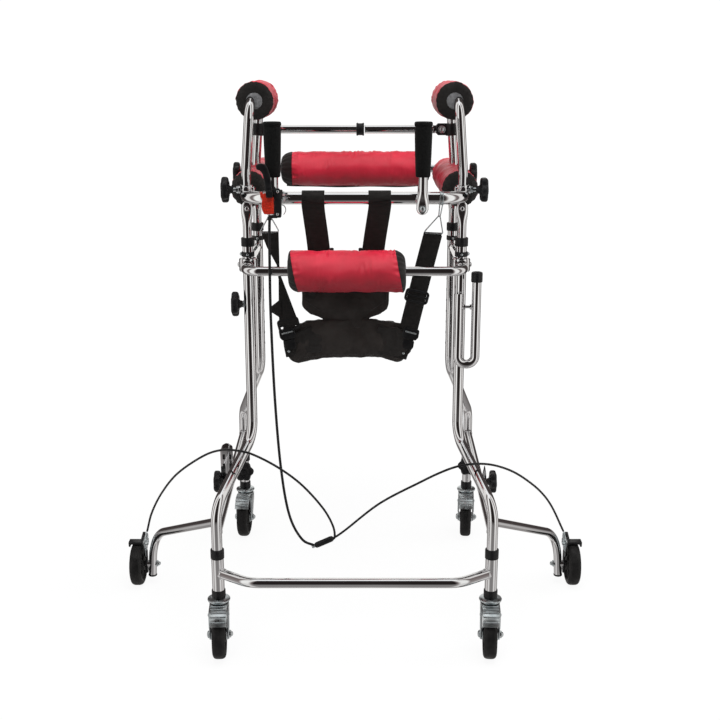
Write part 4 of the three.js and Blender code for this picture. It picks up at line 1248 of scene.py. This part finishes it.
def pads():
    common = {"axis": RIGHT, "slant": 0, "pleats": 20, "sag": 0, "gather": 0.05}
    front = {"centre": vec(-15, PAD_BAR_Y, PAD_BAR_Z), "length": 234, "radius": 41.5, "neck": 13}
    front |= {"dome": 17, "cap": 15, "slant": 9, "seed": 1.0, "folds": 1.3}
    make_pad("front_pad", "base", common | front)
    back = {"centre": vec(0, GATE_Y, GATE_Z), "length": 358, "radius": 41, "neck": 11}
    back |= {"dome": 34, "cap": 32, "seed": 4.0, "folds": 1.2}
    make_pad("back_pad", "rear_gate", common | back)
    # A thin black cord along the bottom of the back pad, seen as a dark line under it.
    hem = []
    for i in range(34):
        x = -165 + i * 10
        drop = 40.6 - 3 * (abs(x) / 165) ** 6
        hem.append(vec(x, GATE_Y - 6, GATE_Z - drop + 0.8 * sin(x / 23)))
    make("back_pad_bottom_cord", "rear_gate", "black", sweep(hem, circle(2.6, 12)), sharp=80)
    for name, sign in SIDES:
        side = {"centre": vec(sign * UPRIGHT_X, 121, U_BAR_Z + 8), "length": 358, "radius": 37.5, "neck": 15}
        side |= {"dome": 15, "cap": 14, "sag": 8, "seed": 7.0 + sign, "folds": 0.9, "axis": BACK}
        side["dent"] = (REAR_Y - 121, 15, -sign)
        make_pad(f"side_pad_{name}", "upper_frame", common | side)
        roller = {"centre": vec(sign * 202, 6, UNDERARM_TOP), "length": 162, "radius": 38, "neck": 17}
        roller |= {"dome": 8, "cap": 7, "seed": 12.0 + sign, "folds": 0.9, "gather": 0.02}
        roller["axis"] = BACK
        make_pad(f"underarm_roller_{name}", "underarm_frame", common | roller)
        core = []
        for end, direction in ((-75, -1), (87, 1)):
            profile = [(-8, 0), (-8, 18), (-1.5, 18), (-0.6, 16.5), (-0.4, 12), (-0.8, 0)]
            core.append(lathe(profile, vec(sign * 202, end, UNDERARM_TOP), vec(0, direction, 0), 48))
        make(f"underarm_core_{name}", "underarm_frame", "grey_foam", *core)


# ---- sling seat ----


def puffed_panel(outline, low, high, cell=5.0, seed=0.0, cap_mm=6.0, pressure=2.0):
    """A sewn panel: a plate, remeshed, swollen by a cloth simulation and subdivided. Returns a mesh."""
    bm = plate(outline, low, high, "xz", 0)
    mesh = bpy.data.meshes.new("panel")
    bm.to_mesh(mesh)
    bm.free()
    obj = add_object("panel", mesh)
    remesh = obj.modifiers.new("remesh", "REMESH")
    remesh.mode = "VOXEL"
    remesh.voxel_size = cell * MM
    graph = bpy.context.evaluated_depsgraph_get()
    grid = bpy.data.meshes.new_from_object(obj.evaluated_get(graph))
    bpy.data.objects.remove(obj)
    bpy.data.meshes.remove(mesh)
    obj = add_object("panel", grid)
    middle = (low + high) / 2 * MM
    rim = [v.index for v in grid.vertices if abs(v.co.y - middle) < 0.5 * cell * MM]
    inflate(obj, rim, cap_mm, 14, pressure, -0.05)
    bpy.data.objects.remove(obj)
    fine = subdivided(grid)
    bpy.data.meshes.remove(grid)
    for vertex in fine.vertices:
        x, y, z = vertex.co / MM
        wrinkle = noise.noise(vec(x / 24 + seed, z / 9, seed))
        wrinkle += 0.6 * noise.noise(vec(x / 9, z / 14, seed + 4))
        vertex.co.y -= wrinkle * 0.9 * MM
    return fine


def mesh_bm(mesh):
    bm = bmesh.new()
    bm.from_mesh(mesh)
    bpy.data.meshes.remove(mesh)
    return bm


def stitches(points, pitch=4.2, length=2.8):
    """Short thread dashes along a line."""
    dashes = []
    for start, end in zip(points, points[1:]):
        along = (end - start).normalized()
        count = int((end - start).length / pitch)
        for k in range(count):
            at = start + along * (k * pitch + 1)
            dashes.append(sweep([at, at + along * length], circle(0.45, 6)))
    return dashes


def sling():
    band_x, saddle_x = -6, -19
    half_saddle = [(43, 655), (43, 671), (70, 683), (84, 693), (89, 703), (89, 745)]
    saddle = [(-a, b) for a, b in reversed(half_saddle)] + half_saddle
    saddle = [(saddle_x + a, b) for a, b in saddle]
    band = [(-133, 650), (-131, 588), (-112, 578), (-60, 588), (56, 590), (100, 579), (121, 604), (134, 646)]
    band += [(101, 663), (40, 672), (-55, 672), (-92, 668)]
    band = [(band_x + a, b) for a, b in band]
    top = mesh_bm(puffed_panel(rounded(saddle, 14), -137, -121, seed=1))
    low = mesh_bm(puffed_panel(rounded(band, 12), -138.5, -120, seed=6))
    make("sling_panels", "upper_frame", "sling", top, low, replaces="sling_seat", sharp=80)
    patches = []
    for outline in (
        [(-126, 640), (-124, 596), (-60, 604), (-52, 660), (-88, 660)],
        [(124, 640), (116, 606), (98, 592), (50, 600), (48, 662), (98, 656)],
    ):
        shifted = [(band_x + a, b) for a, b in outline]
        patches.append(mesh_bm(puffed_panel(rounded(shifted, 8), -142.5, -136, 4.0, 9, 2.5, 1.0)))
    tab = [(-96, 742), (-78, 742), (-78, 716), (-96, 716)]
    patches.append(mesh_bm(puffed_panel(tab, -140, -135, 4.0, 3, 1.5, 1.0)))
    make("sling_patches", "upper_frame", "black", *patches, sharp=80)
    threads = []
    for sign in (-1, 1):
        line = ((84, 740), (84, 714), (50, 690))
        threads += stitches([vec(saddle_x + sign * a, -139.4, b) for a, b in line])
    line = ((-100, 592), (-50, 598), (50, 600), (96, 590))
    threads += stitches([vec(band_x + a, -140.4, b) for a, b in line])
    make("sling_threads", "upper_frame", "thread", *threads)
    front_straps()
    side_strap("left", (-171, 850), (-155, 781), (-134, 667))
    side_strap("right", (158, 850), (136, 760), (111, 654))


def front_straps():
    """Two webbing straps looped over the U-bar and sewn to the saddle behind the front pad."""
    straps = []
    for low_x, high_x in ((-65, -82), (29, 50)):
        reach = U_BAR_RADIUS + 1.8
        loop = []
        for i in range(13):
            angle = radians(200 - i * 205 / 12)
            loop.append(vec(high_x, U_BAR_FRONT_Y + reach * cos(angle), U_BAR_Z + reach * sin(angle)))
        middle_x = (low_x + high_x) / 2
        front = [vec(low_x, -134, 738), vec(middle_x, -142, 830), vec(high_x, -160, 905), loop[0]]
        rear = [loop[-1], vec(high_x, -142, 900), vec(middle_x, -137, 830), vec(low_x, -131, 738)]
        path = smooth_path(front, 8)[:-1] + loop + smooth_path(rear, 8)[1:]
        straps.append(sweep(path, strap_section(45, 2.2), side=RIGHT))
    make("sling_front_straps", "upper_frame", "webbing", *straps, sharp=60)
    buckles = []
    for x in (-46, 12):
        buckles.append(box((x - 4, -144, 806), (x + 4, -139, 822), 2))
    make("sling_front_buckles", "upper_frame", "plastic", *buckles)


def side_strap(name, top, middle, low):
    """A side strap under the U-bar corner with its wire, slide and clip; the left one is twisted."""
    y = STRAP_Y
    sign = -1 if name == "left" else 1
    knots = [vec(top[0], y, top[1]), vec(middle[0], y, middle[1]), vec(low[0], y, low[1])]
    if sign > 0:
        flat = vec(1, 0, STRAP_LEAN)
        fold = [knots[0] + vec(0, 0, 3), knots[0] + vec(-1, 3.4, -4), knots[0] + vec(-6, 3.6, -24)]
        parts = [
            sweep(smooth_path(knots, 14), strap_section(38, 2.2), side=flat),
            sweep(fold, strap_section(37, 2.0), side=flat),
        ]
    else:
        upper = [(-189, 855), (-153, 855), (-152.5, 800), (-152.5, 758)]
        upper += [(-155, 758), (-158, 787), (-177, 823)]
        lower = [(-154.5, 768), (-151, 768), (-139, 735), (-113, 662), (-155, 662), (-155.5, 700)]
        flap = [(-150, 718), (-174, 699), (-171, 690), (-150, 676)]
        layers = ((upper, -1.1, 1.1), (upper, 1.6, 3.4), (lower, -2.6, -0.4), (flap, -4.4, -2.8))
        parts = [plate(rounded(outline, 2), y + near, y + far, "xz", 0.4) for outline, near, far in layers]
    hem = (-130, 595) if sign < 0 else (95, 591)
    bow_x = (low[0] + hem[0]) / 2 + 3 * sign
    end = [vec(low[0], y, low[1] + 8), vec(bow_x, y, 628), vec(hem[0], y + 2, hem[1])]
    parts.append(sweep(smooth_path(end, 8), strap_section(25, 2.4), side=vec(1, 0, -0.2 * sign)))
    make(f"side_strap_web_{name}", "upper_frame", "webbing", *parts, replaces=f"sling_strap_{name}", sharp=60)
    slide_at = vec(-136, y, 663) if sign < 0 else knots[1].lerp(knots[2], 0.36)
    clip_at = vec(low[0] + 4 * sign, y, 641)
    hardware = slide_buckle(slide_at, sign) + clip(clip_at, sign)
    make(f"side_strap_buckles_{name}", "upper_frame", "plastic", *hardware)
    # The thin zinc bar across the clip is a painted highlight: a bright rod that stands for the glint on the
    # black plastic buckle. The stud is a small domed head by the strap's lower end.
    inner, outer = clip_at + vec(-11 * sign, -5, 9), clip_at + vec(12 * sign, -5, 3)
    stud = screw_head(vec(hem[0] + 6 * sign, y - 4, hem[1] + 12), FRONT, 2.6, 2)
    make(f"side_strap_glint_bar_and_stud_{name}", "upper_frame", "zinc", bar(inner, outer, 1.7, 10), stud)
    wire(name, sign, knots[0])


def slide_buckle(centre, sign):
    """A tri-glide: a frame with a middle bar."""
    place = Matrix.Translation(centre) @ Matrix.Rotation(STRAP_LEAN * sign, 4, "Y")
    half = 22 if sign > 0 else 20
    frame = sweep(closed_loop(half, 11), circle(2.9, 12))
    middle = bar(vec(2 - half, 0, 0), vec(half - 2, 0, 0), 2.4, 12)
    return [moved(frame, place), moved(middle, place)]


def closed_loop(half_x, half_z):
    """A rounded rectangle in the XZ plane that meets itself."""
    outline = rounded([(-half_x, -half_z), (half_x, -half_z), (half_x, half_z), (-half_x, half_z)], 5)
    points = [vec(a, 0, b) for a, b in outline]
    return points + [points[0].copy()]


def clip(centre, sign):
    """The two halves of a side-release buckle."""
    place = Matrix.Translation(centre) @ Matrix.Rotation(STRAP_LEAN * sign, 4, "Y")
    female = rounded([(-16, 14), (16, 14), (17, -2), (13, -9), (-13, -9), (-17, -2)], 4)
    male = rounded([(-11, -11), (11, -11), (12, -24), (9, -31), (-9, -31), (-12, -24)], 3)
    parts = [plate(female, -4, 4, "xz", 1.6, 3), plate(male, -3.5, 3, "xz", 1.2, 3)]
    return [moved(part, place) for part in parts]


def wire(name, sign, low):
    """A bent steel wire from the U-bar to the strap's eye."""
    apex = vec(sign * 170, -147, 888)
    left = low + vec(-20, -1, 2)
    right = low + vec(20, -1, 2 - 2 * sign)
    band_x = apex.x + (3 if sign > 0 else -7)
    triangle = arc_path([apex + LEFT, left, right, apex + RIGHT], 3.5, 15)
    hook = [vec(band_x - 3, -150, 912), apex + vec(-1.5, 0, -2)]
    hook += [apex + vec(1.5, 0, -2), vec(band_x + 3, -150, 912)]
    parts = [
        sweep(triangle, circle(1.3, 12)),
        sweep(arc_path(hook, 1.4, 20), circle(1.2, 12)),
        ring(vec(band_x - 4, U_BAR_FRONT_Y, U_BAR_Z), RIGHT, 12.4, 13.8, 8, 0.4),
    ]
    make(f"strap_wire_{name}", "upper_frame", "zinc", *parts)


# ---- brake cable ----


def cables():
    joint_low = vec(-86, -153, 176)
    joint_high = vec(-44, -150, 194)
    main = [(-166, -195, 888), (-166.5, -200, 862), (-167, -205, 790), (-167, -203, 690)]
    main += [(-163, -192, 516), (-154, -180, 360), (-139, -172, 255), (-114, -162, 196)]
    path = smooth_path([vec(*knot) for knot in main] + [joint_low], 12)
    cable = make("brake_cable_main", None, "plastic", sweep(path, circle(2.75, 12)), sharp=80)
    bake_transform(cable)
    inside = joint_low.lerp(joint_high, 0.8)
    left = [(-47, -154, 222), (-68, -165, 268), (-111, -180, 326), (-158, -195, 370)]
    left += [(-207, -211, 404), (-240, -213, 414), (-278, -190, 407), (-322, -150, 379)]
    left += [(-385, -100, 322), (-429, -60, 261), (-460, -28, 200), (-480, 8, 140)]
    right = [(-21, -155, 213), (53, -175, 283), (138, -195, 339), (178, -206, 364)]
    right += [(209, -213, 379), (238, -214, 385), (270, -199, 380), (301, -175, 366)]
    right += [(336, -145, 343), (371, -110, 311), (409, -75, 270), (441, -44, 222), (480, 8, 140)]
    branches = []
    for knots in (left, right):
        path = smooth_path([inside, joint_high] + [vec(*knot) for knot in knots], 10)
        branches.append(sweep(path, circle(2.35, 12)))
    make("brake_cable_branches", "base", "plastic", *branches, sharp=80)
    body = [(0, 0), (0, 4), (2, 5.8), (6, 6.4), (37, 6.4), (41, 5.4), (43, 3.4), (43, 0)]
    along = joint_high - joint_low
    make("cable_splitter", "base", "plastic", lathe(body, joint_low, along, 32))
    ferrule = [(0, 0), (0, 3.2), (6, 3.6), (9, 4.2), (9, 0)]
    make("cable_ferrules", "base", "zinc", lathe(ferrule, joint_low - along.normalized() * 7, along, 24))


# ---- studio ----


def studio():
    floor_mesh = bpy.data.meshes.new("floor")
    reach = 14.0
    corners = [(-reach, -reach, 0), (reach, -reach, 0), (reach, reach, 0), (-reach, reach, 0)]
    floor_mesh.from_pydata(corners, [], [(0, 1, 2, 3)])
    floor = add_object("studio_floor", floor_mesh)
    floor.location.z = -0.0005
    floor_mesh.materials.append(floor_material())
    world()
    area("key", (0.2, -1.0, 3.1), (0, 0, 0.9), 2.2, 60)
    satin = area("satin", (0.1, -0.9, 3.0), (0, 0, 0.9), 1.5, 24, mirrored=True)
    covers = bpy.data.collections.new("pad_covers")
    for obj in scene.collection.all_objects:
        if obj.name.endswith("_cover"):
            covers.objects.link(obj)
    satin.light_linking.receiver_collection = covers
    area("front", (-1.6, -3.2, 2.0), (0, 0, 0.7), 1.2, 14)
    area("side", (2.8, 0.4, 1.8), (0, 0, 0.8), 1.6, 18)
    camera_data = bpy.data.cameras.new("camera")
    camera_data.sensor_width = 36
    camera_data.lens = CAMERA_LENS
    camera_data.clip_end = 60
    camera = add_object("camera", camera_data)
    camera.location = CAMERA_PLACE
    camera.rotation_euler = (radians(90 - CAMERA_PITCH), 0, 0)
    scene.camera = camera
    scene.view_settings.view_transform = "Standard"
    scene.view_settings.look = "None"


def area(name, place, target, size, power, mirrored=False):
    data = bpy.data.lights.new(name, "AREA")
    data.size = size
    data.energy = power
    light = add_object(name, data)
    light.visible_glossy = mirrored
    light.location = place
    light.rotation_euler = (Vector(target) - Vector(place)).to_track_quat("-Z", "Y").to_euler()
    return light


def studio_ramp(tree, direction):
    """What a mirror sees by compass direction: a dark front, bright sides, a grey band and a white back."""
    split = node(tree, "SeparateXYZ", {0: direction})
    flip = node(tree, "Math", {0: split.outputs["Y"], 1: -1}, operation="MULTIPLY")
    turn = node(tree, "Math", {0: split.outputs["X"], 1: flip.outputs[0]}, operation="ARCTAN2")
    size = node(tree, "Math", {0: turn.outputs[0]}, operation="ABSOLUTE")
    share = node(tree, "Math", {0: size.outputs[0], 1: pi}, operation="DIVIDE")
    ramp = node(tree, "ValToRGB", {"Fac": share.outputs[0]})
    stops = [(0.0, 0.02), (0.13, 0.02), (0.17, 0.22), (0.22, 0.95), (0.33, 1.0), (0.38, 0.25)]
    stops += [(0.44, 0.12), (0.48, 0.8), (0.60, 0.9), (0.66, 0.07), (0.90, 0.05), (0.94, 0.9)]
    elements = ramp.color_ramp.elements
    while len(elements) < len(stops):
        elements.new(0.5)
    for element, (position, value) in zip(elements, stops):
        element.position = position
        warm = 1 - 0.2 * (1 - value)
        element.color = (value, value * warm, value * warm * 0.97, 1)
    return ramp.outputs["Color"], split.outputs["Z"]


def map_range(tree, source, low, high, start=0.0, end=1.0):
    """An eased step of source from low to high."""
    inputs = {"Value": source, "From Min": low, "From Max": high, "To Min": start, "To Max": end}
    return node(tree, "MapRange", inputs, interpolation_type="SMOOTHSTEP").outputs["Result"]


def by_ray(tree, rest, mirror, camera, output):
    """Shows one shader to mirrors, one to the camera and one to all other rays."""
    path = node(tree, "LightPath").outputs
    mix = node(tree, "MixShader", {"Fac": path["Is Glossy Ray"], 1: rest.outputs[0], 2: mirror.outputs[0]})
    mix = node(tree, "MixShader", {"Fac": path["Is Camera Ray"], 1: mix.outputs[0], 2: camera.outputs[0]})
    node(tree, output, {"Surface": mix.outputs[0]})


def floor_material():
    """White with a soft shadow to the camera, the studio's own picture to a mirror, grey to the rest."""
    material = bpy.data.materials.new("pale_floor")
    material.use_nodes = True
    tree = material.node_tree
    tree.nodes.clear()
    place = node(tree, "NewGeometry")
    reach = node(tree, "VectorMath", {0: place.outputs["Position"]}, operation="LENGTH").outputs["Value"]
    bright = node(tree, "BsdfDiffuse", {"Color": (0.95, 0.95, 0.95, 1)})
    glow = node(tree, "Emission", {"Strength": 1.03})
    fade = map_range(tree, reach, 0.5, 1.4, 0.9, 1.0)
    seen = node(tree, "MixShader", {"Fac": fade, 1: bright.outputs[0], 2: glow.outputs[0]})
    onward = node(tree, "VectorMath", {0: place.outputs["Incoming"], "Scale": -1}, operation="SCALE")
    far, _ = studio_ramp(tree, onward.outputs["Vector"])
    fade = map_range(tree, reach, 0.3, 2.2, 0.5, 1.0)
    tone = node(tree, "MixRGB", {"Fac": fade, "Color1": (0.52, 0.50, 0.49, 1), "Color2": far})
    mirror = node(tree, "Emission", {"Color": tone.outputs["Color"]})
    rest = node(tree, "BsdfDiffuse", {"Color": (0.5, 0.5, 0.5, 1)})
    by_ray(tree, rest, mirror, seen, "OutputMaterial")
    return material


def world():
    """White to the camera; a mirror sees the studio ramp, brightest straight overhead."""
    scene.world = bpy.data.worlds.new("studio")
    scene.world.use_nodes = True
    tree = scene.world.node_tree
    tree.nodes.clear()
    white = (1, 1, 1, 1)
    around, height = studio_ramp(tree, node(tree, "TexCoord").outputs["Generated"])
    overhead = map_range(tree, height, 0.94, 0.965)
    above = node(tree, "MixRGB", {"Fac": overhead, "Color1": around, "Color2": white})
    mirror = node(tree, "Background", {"Color": above.outputs["Color"]})
    fill = node(tree, "Background", {"Color": white, "Strength": 0.3})
    seen = node(tree, "Background", {"Color": white, "Strength": 1.05})
    by_ray(tree, fill, mirror, seen, "OutputWorld")


for side_name, side_sign in SIDES:
    side_frame(side_name, side_sign)
    slotted_brace(side_name, side_sign)
    outrigger(side_name, side_sign)
cross_frame()
pad_bar()
crutch_holder()
for caster_name, (caster_x, caster_y, caster_yaw) in CASTERS.items():
    caster(caster_name, caster_x, caster_y, caster_yaw)
knobs()
upper_frame()
rear_gate()
underarm()
grip("left", -159)
grip("right", 134)
brake_control()
pads()
sling()
cables()
studio()
